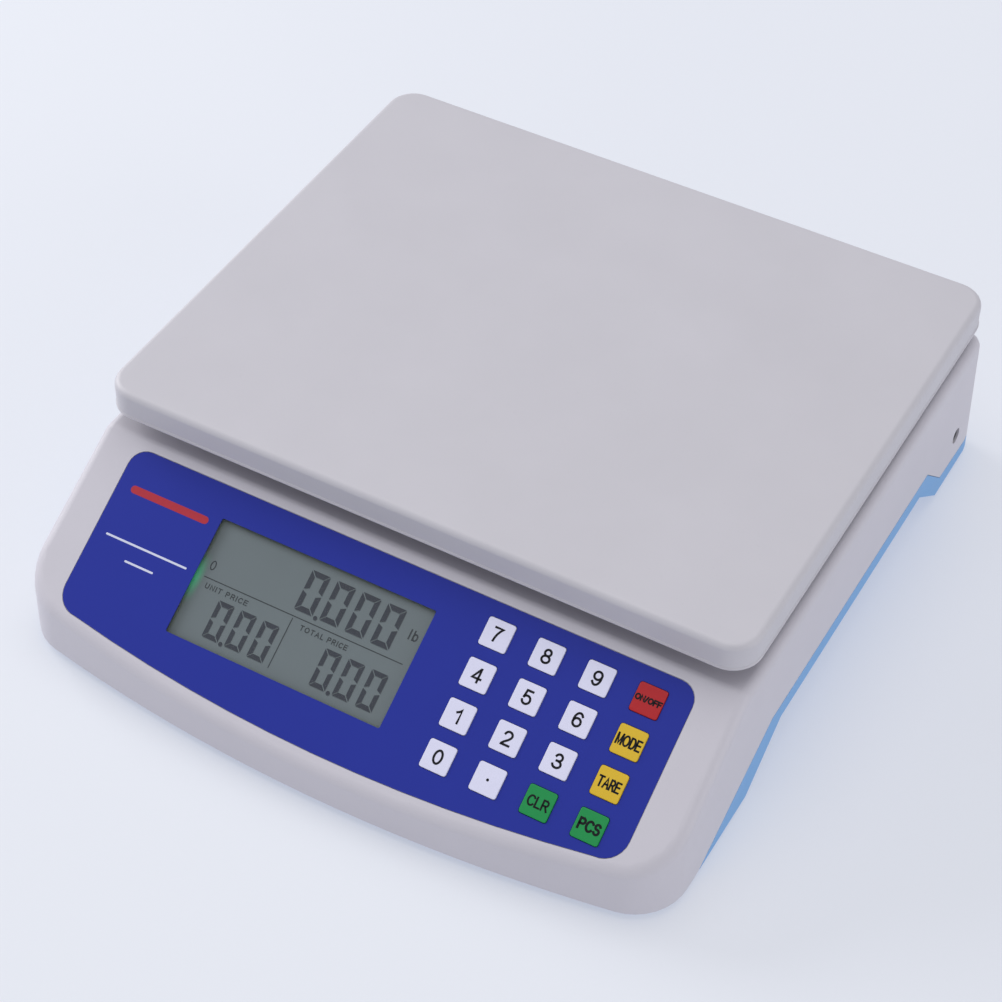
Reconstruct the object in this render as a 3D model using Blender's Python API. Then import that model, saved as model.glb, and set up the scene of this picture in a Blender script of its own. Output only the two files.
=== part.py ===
"""Price-computing bench scale: a platter on a single-point load cell inside a two-part plastic casing.

Metres. X to the right, Y to the back, Z up, the origin on the table under the middle of the casing.
The control panel has its own frame: u along X, s down the slope from the film's top edge, n out of the panel.
"""

import math

import bmesh
import bpy
from mathutils import Matrix, Vector

for ob in list(bpy.data.objects):
    bpy.data.objects.remove(ob, do_unlink=True)

# ---- sizes everything else follows from ------------------------------------
CASING_W = 0.3072  # across the bottom edge
CASING_D = 0.330  # nose to rear at the bottom edge
CASING_Z = 0.004  # bottom edge above the table
LAND_Z = 0.069  # the flat top under the platter
WALL = 0.0025
DRAFT = 0.031  # walls lean in by this much per unit of height
REAR_DRAFT = 0.060  # and the rear wall by this much
FRONT_BOW = 0.757  # radius of the bowed front in plan
FRONT_CORNER = 0.024
REAR_CORNER = 0.012
EDGE_R = 0.0045  # rounding along the side top edges
NOSE_R = 0.0028  # rounding along the panel's lower edge
PANEL_TILT = math.radians(30.0)
FOLD_R = 0.006  # rounding where the land turns into the panel
PANEL_RUN = 0.0803  # from the nose back to the film's top edge
PANEL_TOP = (PANEL_RUN - CASING_D / 2, 0.06665)  # y and z of the film's top edge

PLATTER_W = 0.300
PLATTER_D = 0.2433
PLATTER_H = 0.0131
PLATTER_WALL = 0.0025
PLATTER_CORNER = 0.013
PLATTER_EDGE_R = 0.0028
PLATTER_GAP = 0.010  # rim above the land
PLATTER_FRONT = PANEL_TOP[0] + 0.0027

SEAM_Z = 0.0296  # joint line between the casings along the side
SEAM_GAP = 0.0003
ARCH_Z = 0.0215  # underside of the raised side
ARCH_DEPTH = 0.024

FILM_W = 0.2656
FILM_T = 0.0004
FILM_LEN = 0.0855  # down the slope at the middle
WINDOW = (-0.0820, 0.0211, 0.0134, 0.0656)  # display window: u0, u1, s0, s1
KEY_SIDE = 0.0122
KEY_PITCH_U = 0.02247
KEY_PITCH_S = 0.01788
KEY_FIRST = (0.04871, 0.01255)  # centre of the top left key
KEY_TRAVEL = 0.0005
KEY_PROUD = 0.0005

CELL_L, CELL_W, CELL_H = 0.130, 0.030, 0.022
CELL_Z = 0.0201  # underside of the load cell
PLATE_Z, PLATE_T = 0.0125, 0.003
BOLT_R = 0.003
HOLE_CLEAR = 0.0003

FOOT_R = 0.012
FOOT_TRAVEL = 0.003
CLEAR = 0.0003  # between touching pieces
EPS = 0.0001  # between thin pieces that lie flat on each other

# ---- sizes that follow ------------------------------------------------------
HALF_W, HALF_D = CASING_W / 2, CASING_D / 2
PLATTER_Y = PLATTER_FRONT + PLATTER_D / 2
PLATTER_Z = LAND_Z + PLATTER_GAP
TAN, COS, SIN = math.tan(PANEL_TILT), math.cos(PANEL_TILT), math.sin(PANEL_TILT)
FLOOR_IN = CASING_Z + WALL  # inner face of the bottom plate


# ---- making meshes -----------------------------------------------------------
def material(name, colour, rough, metal=0.0):
    mat = bpy.data.materials.get(name)
    if mat is None:
        mat = bpy.data.materials.new(name)
        mat.use_nodes = True
        bsdf = mat.node_tree.nodes["Principled BSDF"]
        bsdf.inputs["Base Color"].default_value = (*colour, 1)
        bsdf.inputs["Roughness"].default_value = rough
        bsdf.inputs["Metallic"].default_value = metal
        mat.diffuse_color = (*colour, 1)
    return mat


GREY = (0.62, 0.61, 0.63)
BLUE = (0.22, 0.52, 0.80)
STEEL = (0.55, 0.56, 0.58)
DARK = (0.03, 0.03, 0.035)


def solid(name, verts, faces, look=None, origin=(0, 0, 0), sharp=35):
    """A mesh object from points in world metres, faces out, smooth across small angles."""
    mesh = bpy.data.meshes.new(name)
    mesh.from_pydata([Vector(v) - Vector(origin) for v in verts], [], faces)
    bm = bmesh.new()
    bm.from_mesh(mesh)
    bmesh.ops.remove_doubles(bm, verts=bm.verts, dist=1e-7)
    bmesh.ops.recalc_face_normals(bm, faces=bm.faces)
    bm.to_mesh(mesh)
    bm.free()
    obj = bpy.data.objects.new(name, mesh)
    obj.location = origin
    bpy.context.scene.collection.objects.link(obj)
    if look:
        mesh.materials.append(material("mat_" + name, *look))
    mesh.shade_smooth()
    mesh.set_sharp_from_angle(angle=math.radians(sharp))
    return obj


def join(obj, other, how="DIFFERENCE", sharp=35):
    """One exact Boolean, made permanent, and the other object removed."""
    mod = obj.modifiers.new("b", "BOOLEAN")
    mod.operation, mod.solver, mod.object = how, "EXACT", other
    bpy.context.view_layer.update()
    graph = bpy.context.evaluated_depsgraph_get()
    done = bpy.data.meshes.new_from_object(obj.evaluated_get(graph))
    obj.modifiers.remove(mod)
    bm = bmesh.new()
    bm.from_mesh(done)
    bmesh.ops.remove_doubles(bm, verts=bm.verts, dist=2e-7)
    bmesh.ops.dissolve_degenerate(bm, edges=bm.edges, dist=1e-7)
    stray = [f for f in bm.faces if all(e.is_boundary for e in f.edges)]  # single faces a Boolean leaves behind
    bmesh.ops.delete(bm, geom=stray, context="FACES")
    bm.to_mesh(done)
    bm.free()
    obj.data = done
    slots = [m for m in done.materials if m]
    keep = slots[0] if slots else None
    done.materials.clear()
    if keep:
        done.materials.append(keep)
    for poly in done.polygons:
        poly.material_index = 0
    done.shade_smooth()
    done.set_sharp_from_angle(angle=math.radians(sharp))
    bpy.data.objects.remove(other, do_unlink=True)
    return obj


def cut(obj, *others):
    for other in others:
        join(obj, other)
    return obj


def add(obj, *others):
    for other in others:
        join(obj, other, "UNION")
    return obj


def loft(name, rings, look=None, origin=(0, 0, 0), sharp=35):
    """Rings of equally many points, skinned and capped at both ends."""
    n = len(rings[0])
    verts = [p for ring in rings for p in ring]
    faces = [tuple(reversed(range(n))), tuple(range((len(rings) - 1) * n, len(rings) * n))]
    for r in range(len(rings) - 1):
        for i in range(n):
            j = (i + 1) % n
            faces.append((r * n + i, r * n + j, (r + 1) * n + j, (r + 1) * n + i))
    return solid(name, verts, faces, look, origin, sharp)


def box(name, lo, hi, look=None):
    x0, y0, z0 = lo
    x1, y1, z1 = hi
    low = [(x0, y0, z0), (x1, y0, z0), (x1, y1, z0), (x0, y1, z0)]
    return loft(name, [low, [(x, y, z1) for x, y, _ in low]], look)


def turned(name, profile, look=None, at=(0, 0, 0), axis="Z", steps=24, turn=None, sharp=35):
    """A body of revolution from (radius, height) points, the first and last on the axis; turn places it."""
    frame = turn if turn is not None else {
        "Z": Matrix.Identity(3),
        "X": Matrix(((0, 0, 1), (1, 0, 0), (0, 1, 0))),
        "Y": Matrix(((1, 0, 0), (0, 0, 1), (0, -1, 0))),
    }[axis]
    if turn is None and axis == "Y":
        frame = Matrix(((0, 1, 0), (0, 0, 1), (1, 0, 0)))
    at = Vector(at)
    verts, faces, rows = [], [], []
    for r, h in profile:
        if r <= 0:
            rows.append([len(verts)])
            verts.append(at + frame @ Vector((0, 0, h)))
        else:
            rows.append(list(range(len(verts), len(verts) + steps)))
            for i in range(steps):
                a = 2 * math.pi * i / steps
                verts.append(at + frame @ Vector((r * math.cos(a), r * math.sin(a), h)))
    for low, high in zip(rows, rows[1:]):
        for i in range(steps):
            j = (i + 1) % steps
            if len(low) == 1 and len(high) > 1:
                faces.append((low[0], high[j], high[i]))
            elif len(high) == 1 and len(low) > 1:
                faces.append((low[i], low[j], high[0]))
            elif len(low) > 1:
                faces.append((low[i], low[j], high[j], high[i]))
    return solid(name, verts, faces, look, tuple(at), sharp)


def rod(name, r, h0, h1, look=None, at=(0, 0, 0), axis="Z", steps=24, turn=None):
    return turned(name, [(0, h0), (r, h0), (r, h1), (0, h1)], look, at, axis, steps, turn)


def extruded(name, outline, along, lo, hi, look=None):
    """A flat outline pushed along X or Z: points are (y, z) for X and (x, y) for Z."""
    if along == "X":
        rings = [[(x, y, z) for y, z in outline] for x in (lo, hi)]
    else:
        rings = [[(x, y, z) for x, y in outline] for z in (lo, hi)]
    return loft(name, rings, look)


def round_rect(x0, x1, y0, y1, r, steps=6):
    pts = []
    for cx, cy, a0 in ((x1 - r, y1 - r, 0), (x0 + r, y1 - r, 90), (x0 + r, y0 + r, 180), (x1 - r, y0 + r, 270)):
        for i in range(steps + 1):
            a = math.radians(a0 + 90 * i / steps)
            pts.append((cx + r * math.cos(a), cy + r * math.sin(a)))
    return pts


# ---- the panel's own frame -----------------------------------------------------
NORMAL = Vector((0, -SIN, COS))
DOWN = Vector((0, -COS, -SIN))
PANEL_0 = Vector((0, *PANEL_TOP))
# local x is u, local y points up the slope, local z is the panel's normal
PANEL_TURN = Matrix(((1, 0, 0), (0, COS, -SIN), (0, SIN, COS)))


def on_panel(u, s, n=0.0):
    return PANEL_0 + Vector((u, 0, 0)) + DOWN * s + NORMAL * n


def panel_prism(name, outline, n0, n1, look=None, origin=None, sharp=35):
    """An outline of (u, s) points standing on the panel from depth n0 to n1."""
    rings = [[on_panel(u, s, n) for u, s in outline] for n in (n0, n1)]
    return loft(name, rings, look, tuple(origin) if origin else (0, 0, 0), sharp)


# ---- the casing's plan outline ---------------------------------------------------
def casing_plan():
    """Points and outward normals of the bottom outline, from the middle of the nose round to the right."""
    bow_c = Vector((0, -HALF_D + FRONT_BOW))
    fc = HALF_W - FRONT_CORNER
    corner_c = Vector((fc, bow_c.y - math.sqrt((FRONT_BOW - FRONT_CORNER) ** 2 - fc**2)))
    meet = math.atan2(corner_c.x, bow_c.y - corner_c.y)  # where the bow meets the corner, from straight ahead
    half = []
    bow_steps, corner_steps, rear_steps = 10, 8, 5
    for i in range(bow_steps + 1):
        a = meet * i / bow_steps
        n = Vector((math.sin(a), -math.cos(a)))
        half.append((bow_c + n * FRONT_BOW, n))
    for i in range(1, corner_steps + 1):
        a = meet + (math.pi / 2 - meet) * i / corner_steps
        n = Vector((math.sin(a), -math.cos(a)))
        half.append((corner_c + n * FRONT_CORNER, n))
    for y in SIDE_STOPS:
        half.append((Vector((HALF_W, y)), Vector((1, 0))))
    rear_c = Vector((HALF_W - REAR_CORNER, HALF_D - REAR_CORNER))
    for i in range(rear_steps + 1):
        a = math.pi / 2 * i / rear_steps
        n = Vector((math.cos(a), math.sin(a)))
        half.append((rear_c + n * REAR_CORNER, n))
    half.append((Vector((0.0, HALF_D)), Vector((0, 1))))
    left = [(Vector((-p.x, p.y)), Vector((-n.x, n.y))) for p, n in reversed(half[1:-1])]
    return half + left


FOLD_Y = PANEL_TOP[0] + (LAND_Z - PANEL_TOP[1]) / TAN
FOLD_T = FOLD_R * math.tan(PANEL_TILT / 2)
FOLD_STEPS = 4


def fold_stops():
    """y and z drop of the points on the rounding between land and panel, back to front."""
    stops = []
    for i in range(FOLD_STEPS + 1):
        a = PANEL_TILT * i / FOLD_STEPS
        stops.append((FOLD_Y + FOLD_T - FOLD_R * math.sin(a), -FOLD_R * (1 - math.cos(a))))
    return stops


FOLD = fold_stops()
SIDE_STOPS = [y for y, _ in reversed(FOLD)]


def top_z(y, drop):
    """Height of the casing's top at y, lowered by drop along each face's own normal."""
    y_back, y_front = FOLD[0][0], FOLD[-1][0]
    if y >= y_back - 1e-7:
        return LAND_Z - drop
    if y <= y_front + 1e-7:
        return PANEL_TOP[1] + (y - PANEL_TOP[0]) * TAN - drop / COS
    for (ya, da), (yb, db) in zip(FOLD, FOLD[1:]):
        if yb - 1e-7 <= y <= ya + 1e-7:
            k = (ya - y) / (ya - yb)
            lean = drop * (1 + (1 / COS - 1) * (ya - y + FOLD[0][0] - ya) / (y_back - y_front))
            return LAND_Z + da + (db - da) * k - lean
    return LAND_Z - drop


def casing_solid(name, inset, z_low, drop, rounded=True, look=None):
    """The casing's outer shape shrunk by inset and drop, from z_low up to its top."""
    plan = casing_plan()
    n = len(plan)

    def at(i, z, more=0.0):
        p, nrm = plan[i]
        lean = DRAFT + (REAR_DRAFT - DRAFT) * max(nrm.y, 0.0) ** 2
        q = p - nrm * (inset + more + lean * (z - CASING_Z))
        return q

    rings = [[(*at(i, z_low), z_low) for i in range(n)]]
    steps = 5 if rounded else 1
    for k in range(steps + 1):
        a = math.pi / 2 * k / steps
        ring = []
        for i in range(n):
            p, nrm = plan[i]
            side = abs(nrm.x)
            r = NOSE_R + (EDGE_R - NOSE_R) * min(1.0, side * 1.05)
            if nrm.y > 0.2:
                r = EDGE_R
            if not rounded:
                r = 1e-6
            # the wall stops where the rounding starts; two passes settle the draft
            z = LAND_Z
            for _ in range(4):
                q = at(i, z, r * (1 - math.cos(a)))
                z = top_z(q.y, drop) - r * (1 - math.sin(a))
            ring.append((q.x, q.y, z))
        rings.append(ring)
    if not rounded:
        rings = [rings[0], rings[-1]]
    verts = [p for ring in rings for p in ring]
    faces = [tuple(reversed(range(n)))]
    for r in range(len(rings) - 1):
        for i in range(n):
            j = (i + 1) % n
            faces.append((r * n + i, r * n + j, (r + 1) * n + j, (r + 1) * n + i))
    last = (len(rings) - 1) * n
    ring = rings[-1]
    # the top: the panel, the strips of the rounding, and the land, each flat
    right = [i for i in range(n // 2 + 1) if plan[i][0].x > 0 and abs(plan[i][1].x - 1) < 1e-6]
    stops = [next(i for i in right if abs(plan[i][0].y - y) < 1e-6) for y in SIDE_STOPS]
    mirror = [n - i for i in stops]
    front = [last + i % n for i in list(range(mirror[0], n)) + list(range(0, stops[0] + 1))]
    back = [last + i for i in range(stops[-1], mirror[-1] + 1)]
    faces += [tuple(front), tuple(back)]
    for a, b in zip(range(len(stops) - 1), range(1, len(stops))):
        faces.append((last + mirror[a], last + stops[a], last + stops[b], last + mirror[b]))
    return solid(name, verts, faces, look)


def above(name, line, top=0.2):
    """Everything above a side-view line of (y, z) points, the full width."""
    pts = list(line) + [(line[-1][0], top), (line[0][0], top)]
    return extruded(name, pts, "X", -0.2, 0.2)


def below(name, line, low=-0.05):
    pts = list(line) + [(line[-1][0], low), (line[0][0], low)]
    return extruded(name, pts, "X", -0.2, 0.2)


# ---- side-view lines ---------------------------------------------------------------
REAR_SEAM_Z = CASING_Z + 0.0055
SEAM = [
    (-HALF_D * 0.74, CASING_Z - 0.001),
    (-HALF_D * 0.335, SEAM_Z),
    (HALF_D * 0.632, SEAM_Z),
    (HALF_D * 0.743, REAR_SEAM_Z + 0.0028),
    (HALF_D + 0.01, REAR_SEAM_Z),
]
ARCH = [
    (-HALF_D * 0.48, CASING_Z - 0.001),
    (-HALF_D * 0.28, ARCH_Z),
    (HALF_D * 0.59, ARCH_Z),
    (HALF_D * 0.73, CASING_Z - 0.001),
]


def raised(line, by):
    return [(y, z + by) for y, z in line]


# ---- screw and foot positions --------------------------------------------------------
CASING_SCREWS = [(sx * HALF_W * 0.905, y * HALF_D) for y in (-0.67, 0.91) for sx in (-1, 1)]
CASING_SCREWS += [(sx * HALF_W * 0.765, 0.13 * HALF_D) for sx in (-1, 1)]
FEET = [(sx * HALF_W * 0.765, y * HALF_D) for y in (-0.775, 0.825) for sx in (-1, 1)]
BATTERY = (-0.097, 0.076, 0.100, 0.047, 0.047)  # left, front, length, width, height
CELL_Y = PLATTER_Y
HUB_X = CELL_L / 2 - 0.0155
FIX_BOLTS = [(-CELL_L / 2 + 0.008, CELL_Y), (-CELL_L / 2 + 0.023, CELL_Y)]
FREE_BOLTS = [(CELL_L / 2 - 0.023, CELL_Y), (CELL_L / 2 - 0.008, CELL_Y)]
PLATE_SCREWS = [(-0.084, CELL_Y - 0.020), (-0.084, CELL_Y + 0.020), (0.080, CELL_Y)]
JACK_Y, JACK_Z = HALF_D * 0.838, 0.0250
JACK_R = 0.00375
BOARD = (-0.0925, 0.1320, 0.0075, 0.0745)  # u0, u1, s0, s1
BOARD_N = -0.0112  # the board's underside
BOARD_T = 0.0016
BOARD_SCREWS = [(-0.0885, 0.0125), (0.1285, 0.0125), (-0.0885, 0.0700), (0.1285, 0.0700)]
OPENING = (HUB_X - 0.026, HUB_X + 0.026, CELL_Y - 0.022, CELL_Y + 0.022)


def key_centres():
    return [(KEY_FIRST[0] + c * KEY_PITCH_U, KEY_FIRST[1] + r * KEY_PITCH_S) for r in range(4) for c in range(4)]


def square(u, s, side, r=0.001, steps=2):
    h = side / 2
    return round_rect(u - h, u + h, s - h, s + h, r, steps)


def film_outline(grow=0.0):
    """(u, s) points of the overlay, its lower edge bowed like the casing's nose."""
    h, top_r, low_r = FILM_W / 2 + grow, 0.008 + grow, 0.0105 + grow
    pts = []
    for i in range(7):
        a = math.radians(90 * i / 6)
        pts.append((-h + top_r - top_r * math.cos(a), -grow + top_r - top_r * math.sin(a)))
    for i in range(7):
        a = math.radians(90 * i / 6)
        pts.append((h - top_r + top_r * math.sin(a), -grow + top_r - top_r * math.cos(a)))
    bow = 1 / (2 * FRONT_BOW)

    def low(u):
        return FILM_LEN - bow * u * u + grow

    side_s = low(h - low_r) - low_r
    for i in range(8):
        a = math.radians(90 * i / 7)
        pts.append((h - low_r + low_r * math.cos(a), side_s + low_r * math.sin(a)))
    m = 12
    for i in range(1, m):
        u = (h - low_r) * (1 - 2 * i / m)
        pts.append((u, low(u)))
    for i in range(8):
        a = math.radians(90 * i / 7)
        pts.append((-h + low_r - low_r * math.sin(a), side_s + low_r * math.cos(a)))
    return pts


# ==== upper casing ====================================================================
def upper_casing():
    body = casing_solid("upper_casing", 0.0, CASING_Z, 0.0, look=(GREY, 0.45))
    cut(body, casing_solid("c", WALL, CASING_Z - 0.01, WALL, rounded=False))
    # pillars for the casing screws, hanging from the top
    for x, y in CASING_SCREWS:
        under = top_z(y - 0.004 * (1 if y < FOLD_Y else 0), WALL)
        add(body, rod("c", 0.0042, CASING_Z + 0.0064, under + 0.0008, at=(x, y, 0), steps=14))
    # bosses for the board screws
    for u, s in BOARD_SCREWS:
        add(body, rod("c", 0.0034, BOARD_N + BOARD_T + CLEAR, -WALL + 0.0008, at=on_panel(u, s), steps=10, turn=PANEL_TURN))
    # cross ribs under the land
    for y in (PLATTER_Y - 0.075, PLATTER_Y + 0.070):
        add(body, box("c", (-HALF_W + 0.0075, y - 0.001, LAND_Z - 0.010), (HALF_W - 0.0075, y + 0.001, LAND_Z - WALL + 0.0008)))
    # raised lip round the opening for the spider's column
    x0, x1, y0, y1 = OPENING
    add(body, extruded("c", round_rect(x0 - 0.003, x1 + 0.003, y0 - 0.003, y1 + 0.003, 0.009), "Z", LAND_Z - 0.001, LAND_Z + 0.0025))
    cut(body, extruded("c", round_rect(x0, x1, y0, y1, 0.006), "Z", LAND_Z - 0.02, LAND_Z + 0.02))
    for x, y in CASING_SCREWS:
        cut(body, rod("c", 0.0017 + HOLE_CLEAR, 0, 0.026, at=(x, y, 0), steps=12))
    for u, s in BOARD_SCREWS:
        cut(body, rod("c", 0.0013 + HOLE_CLEAR, BOARD_N, -0.0035, at=on_panel(u, s), steps=10, turn=PANEL_TURN))
    # the seat of the overlay, then the display and key openings through it
    cut(body, panel_prism("c", film_outline(0.0003), -FILM_T - EPS, 0.01))
    u0, u1, s0, s1 = WINDOW
    cut(body, panel_prism("c", round_rect(u0 - 0.002, u1 + 0.002, s0 - 0.002, s1 + 0.002, 0.0015, 3), -0.02, 0.01))
    for u, s in key_centres():
        cut(body, panel_prism("c", square(u, s, KEY_SIDE + 0.0009, 0.0012), -0.02, 0.01))
    # the raised seam along the sides
    cut(body, below("c", SEAM))
    # power jack hole, with a shallow ring round it
    cut(body, rod("c", JACK_R, HALF_W - 0.02, HALF_W + 0.02, at=(0, JACK_Y, JACK_Z), axis="X", steps=28))
    return body


# ==== lower casing =====================================================================
def arch_cutters(name, depth, line):
    """The hand recess under each side."""
    pts = line + [(line[-1][0], -0.02), (line[0][0], -0.02)]
    return [
        extruded(name, pts, "X", HALF_W - depth, HALF_W + 0.02),
        extruded(name, pts, "X", -HALF_W - 0.02, -HALF_W + depth),
    ]


def grown_arch(by):
    """The recess line moved outwards by a wall's thickness."""
    (ya, za), (yb, zb), (yc, zc), (yd, zd) = ARCH
    la, lc = math.hypot(yb - ya, zb - za), math.hypot(yd - yc, zd - zc)
    ka = by * ((la - (yb - ya)) / (zb - za))
    kc = by * ((lc - (yd - yc)) / (zc - zd))
    return [(ya - by * la / (zb - za), za), (yb - ka, zb + by), (yc + kc, zc + by), (yd + by * lc / (zc - zd), zd)]


LIP = 0.0016
POCKET_R = FOOT_R + 0.0012
POCKET_TOP = 0.0105
FOOT_TOP = POCKET_TOP - FOOT_TRAVEL - 0.0005


def battery_well():
    x, y, l, w, h = BATTERY
    return x - 0.0012, x + l + 0.0012, y - 0.0012, y + w + 0.0012


def lower_casing():
    inner = WALL + CLEAR
    body = casing_solid("lower_casing", 0.0, CASING_Z, 0.0, rounded=False, look=(BLUE, 0.45))
    cut(body, above("c", [(SEAM[0][0] - 0.12, SEAM[0][1] - SEAM_GAP)] + raised(SEAM, -SEAM_GAP)))
    tongue = casing_solid("c", inner, CASING_Z, WALL + 0.0015, rounded=False)
    line = [(-HALF_D - 0.01, CASING_Z + 0.0045), (SEAM[0][0], CASING_Z + 0.0045)] + raised(SEAM, 0.003)[1:]
    cut(tongue, above("c", line))
    add(body, tongue)
    hollow = casing_solid("c", inner + LIP, FLOOR_IN, WALL + 0.0015, rounded=False)
    for c in arch_cutters("d", ARCH_DEPTH + WALL, grown_arch(WALL)):
        cut(hollow, c)
    cut(body, hollow)
    for c in arch_cutters("c", ARCH_DEPTH, ARCH):
        cut(body, c)
    # cups for the feet, with a post for the stud
    for x, y in FEET:
        add(body, rod("c", POCKET_R + 0.002, CASING_Z, POCKET_TOP + 0.0022, at=(x, y, 0), steps=20))
        add(body, rod("c", 0.0058, POCKET_TOP + 0.001, POCKET_TOP + 0.0085, at=(x, y, 0), steps=20))
    # tubes that meet the casing-screw pillars
    for x, y in CASING_SCREWS:
        add(body, rod("c", 0.0062, CASING_Z, CASING_Z + 0.0061, at=(x, y, 0), steps=16))
    # posts under the load cell's plate
    for x, y in PLATE_SCREWS:
        add(body, rod("c", 0.0042, CASING_Z + 0.001, PLATE_Z - CLEAR, at=(x, y, 0), steps=12))
    # stiffening ribs across the floor
    for y in (CELL_Y - 0.042, CELL_Y - 0.085):
        add(body, box("c", (-0.105, y - 0.001, CASING_Z + 0.001), (0.105, y + 0.001, FLOOR_IN + 0.004)))
    # the battery well
    x0, x1, y0, y1 = battery_well()
    t = 0.002
    wall = box("c", (x0 - t, y0 - t, CASING_Z), (x1 + t, y1 + t, FLOOR_IN + 0.022))
    cut(wall, box("d", (x0, y0, CASING_Z - 0.01), (x1, y1, 0.1)))
    add(body, wall)
    cut(body, box("c", (x0 + 0.004, y0, CASING_Z - 0.01), (x1 - 0.004, y1, FLOOR_IN + 0.01)))
    # the shallow seat of the battery cover, and its screw hole
    cut(body, extruded("c", round_rect(x0 - 0.004, x1 + 0.012, y0 - 0.005, y1 + 0.005, 0.003, 3), "Z", -0.01, CASING_Z + 0.0013))
    add(body, rod("c", 0.0038, CASING_Z + 0.0014, FLOOR_IN + 0.006, at=(x1 + 0.0065, (y0 + y1) / 2, 0), steps=20))
    cut(body, rod("c", 0.0013 + HOLE_CLEAR, -0.01, FLOOR_IN + 0.005, at=(x1 + 0.0065, (y0 + y1) / 2, 0), steps=12))
    for x, y in FEET:
        cut(body, rod("c", POCKET_R, -0.01, POCKET_TOP, at=(x, y, 0), steps=20))
        cut(body, rod("c", BOLT_R + HOLE_CLEAR, -0.01, 0.05, at=(x, y, 0), steps=12))
    for x, y in CASING_SCREWS:
        cut(body, rod("c", 0.0017 + HOLE_CLEAR, -0.01, 0.05, at=(x, y, 0), steps=12))
        cut(body, rod("c", 0.0036, -0.01, CASING_Z + 0.0036, at=(x, y, 0), steps=14))
    for x, y in PLATE_SCREWS:
        cut(body, rod("c", 0.0015 + HOLE_CLEAR, FLOOR_IN, PLATE_Z + 0.01, at=(x, y, 0), steps=12))
    return body


# ==== platter ==========================================================================
def platter():
    w, d = PLATTER_W / 2, PLATTER_D / 2
    top = PLATTER_Z + PLATTER_H

    def ring(grow, z, r=PLATTER_CORNER):
        pts = round_rect(-w - grow, w + grow, PLATTER_Y - d - grow, PLATTER_Y + d + grow, max(r + grow, 0.001), 8)
        return [(x, y, z) for x, y in pts]

    lip = 0.0004
    rings = [ring(lip - 0.0003, PLATTER_Z), ring(lip, PLATTER_Z + 0.0003), ring(lip, PLATTER_Z + 0.0010), ring(0, PLATTER_Z + 0.0014)]
    for k in range(7):
        a = math.pi / 2 * k / 6
        rings.append(ring(-PLATTER_EDGE_R * (1 - math.cos(a)), top - PLATTER_EDGE_R * (1 - math.sin(a))))
    body = loft("platter", rings, (GREY, 0.42))
    inner = []
    t = PLATTER_WALL
    r2 = PLATTER_EDGE_R
    inner.append(ring(-t, PLATTER_Z - 0.01))
    for k in range(4):
        a = math.pi / 2 * k / 3
        inner.append(ring(-t - r2 * (1 - math.cos(a)), top - t - r2 * (1 - math.sin(a))))
    cut(body, loft("c", inner))
    # collars under the tray that find the rubber pads
    for x, y in pad_centres():
        collar = rod("c", 0.0132, top - 0.0065, top - t + 0.0008, at=(x, y, 0), steps=28)
        cut(collar, rod("d", PAD_R + 0.0006, 0, top - t, at=(x, y, 0), steps=20))
        add(body, collar)
    # ribs between the collars
    px, py = PAD_SPAN
    for s in (-1, 1):
        add(body, box("c", (-px + 0.0131, PLATTER_Y + s * py - 0.0009, top - 0.0055), (px - 0.0131, PLATTER_Y + s * py + 0.0009, top - t + 0.0008)))
        add(body, box("c", (s * px - 0.0009, PLATTER_Y - py + 0.0131, top - 0.0055), (s * px + 0.0009, PLATTER_Y + py - 0.0131, top - t + 0.0008)))
    return body


# ==== platform: spider, pads, bolts ======================================================
PAD_SPAN = (0.104, 0.078)
PAD_R = 0.0100
SPIDER_Z, SPIDER_T = PLATTER_Z - 0.0005, 0.0035


def pad_centres():
    px, py = PAD_SPAN
    return [(sx * px, PLATTER_Y + sy * py) for sy in (-1, 1) for sx in (-1, 1)]


def bar(name, a, b, width, z0, z1):
    """A straight bar between two plan points."""
    a, b = Vector(a), Vector(b)
    d = (b - a).normalized()
    s = Vector((-d.y, d.x)) * (width / 2)
    pts = [tuple(a + s), tuple(a - s), tuple(b - s), tuple(b + s)]
    return extruded(name, pts, "Z", z0, z1)


def spider():
    z0, z1 = SPIDER_Z, SPIDER_Z + SPIDER_T
    body = extruded("platform_spider", round_rect(-0.036, HUB_X + 0.022, CELL_Y - 0.026, CELL_Y + 0.026, 0.008, 5), "Z", z0, z1, look=((0.50, 0.51, 0.53), 0.5, 0.8))
    for x, y in pad_centres():
        start = (max(-0.024, min(HUB_X + 0.006, x * 0.35)), CELL_Y + (0.014 if y > CELL_Y else -0.014))
        add(body, bar("c", start, (x, y), 0.022, z0, z1))
        add(body, bar("c", start, (x, y), 0.0042, z1 - 0.0008, z1 + 0.0027))
        add(body, rod("c", 0.0132, z0, z1, at=(x, y, 0), steps=20))
    # the column down to the load cell, through the casing's opening
    add(body, extruded("c", round_rect(HUB_X - 0.0165, HUB_X + 0.0165, CELL_Y - 0.0135, CELL_Y + 0.0135, 0.003, 3), "Z", CELL_Z + CELL_H + CLEAR, z0 + 0.0008))
    for x, y in pad_centres():
        cut(body, rod("c", PAD_R + CLEAR, z1 - 0.0010, z1 + 0.02, at=(x, y, 0), steps=20))
        cut(body, rod("c", 0.0035 + CLEAR, z0 - 0.01, z1 + 0.02, at=(x, y, 0), steps=16))
    for x, y in FREE_BOLTS:
        cut(body, rod("c", BOLT_R + HOLE_CLEAR, 0, 0.2, at=(x, y, 0), steps=16))
    return body


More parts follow.
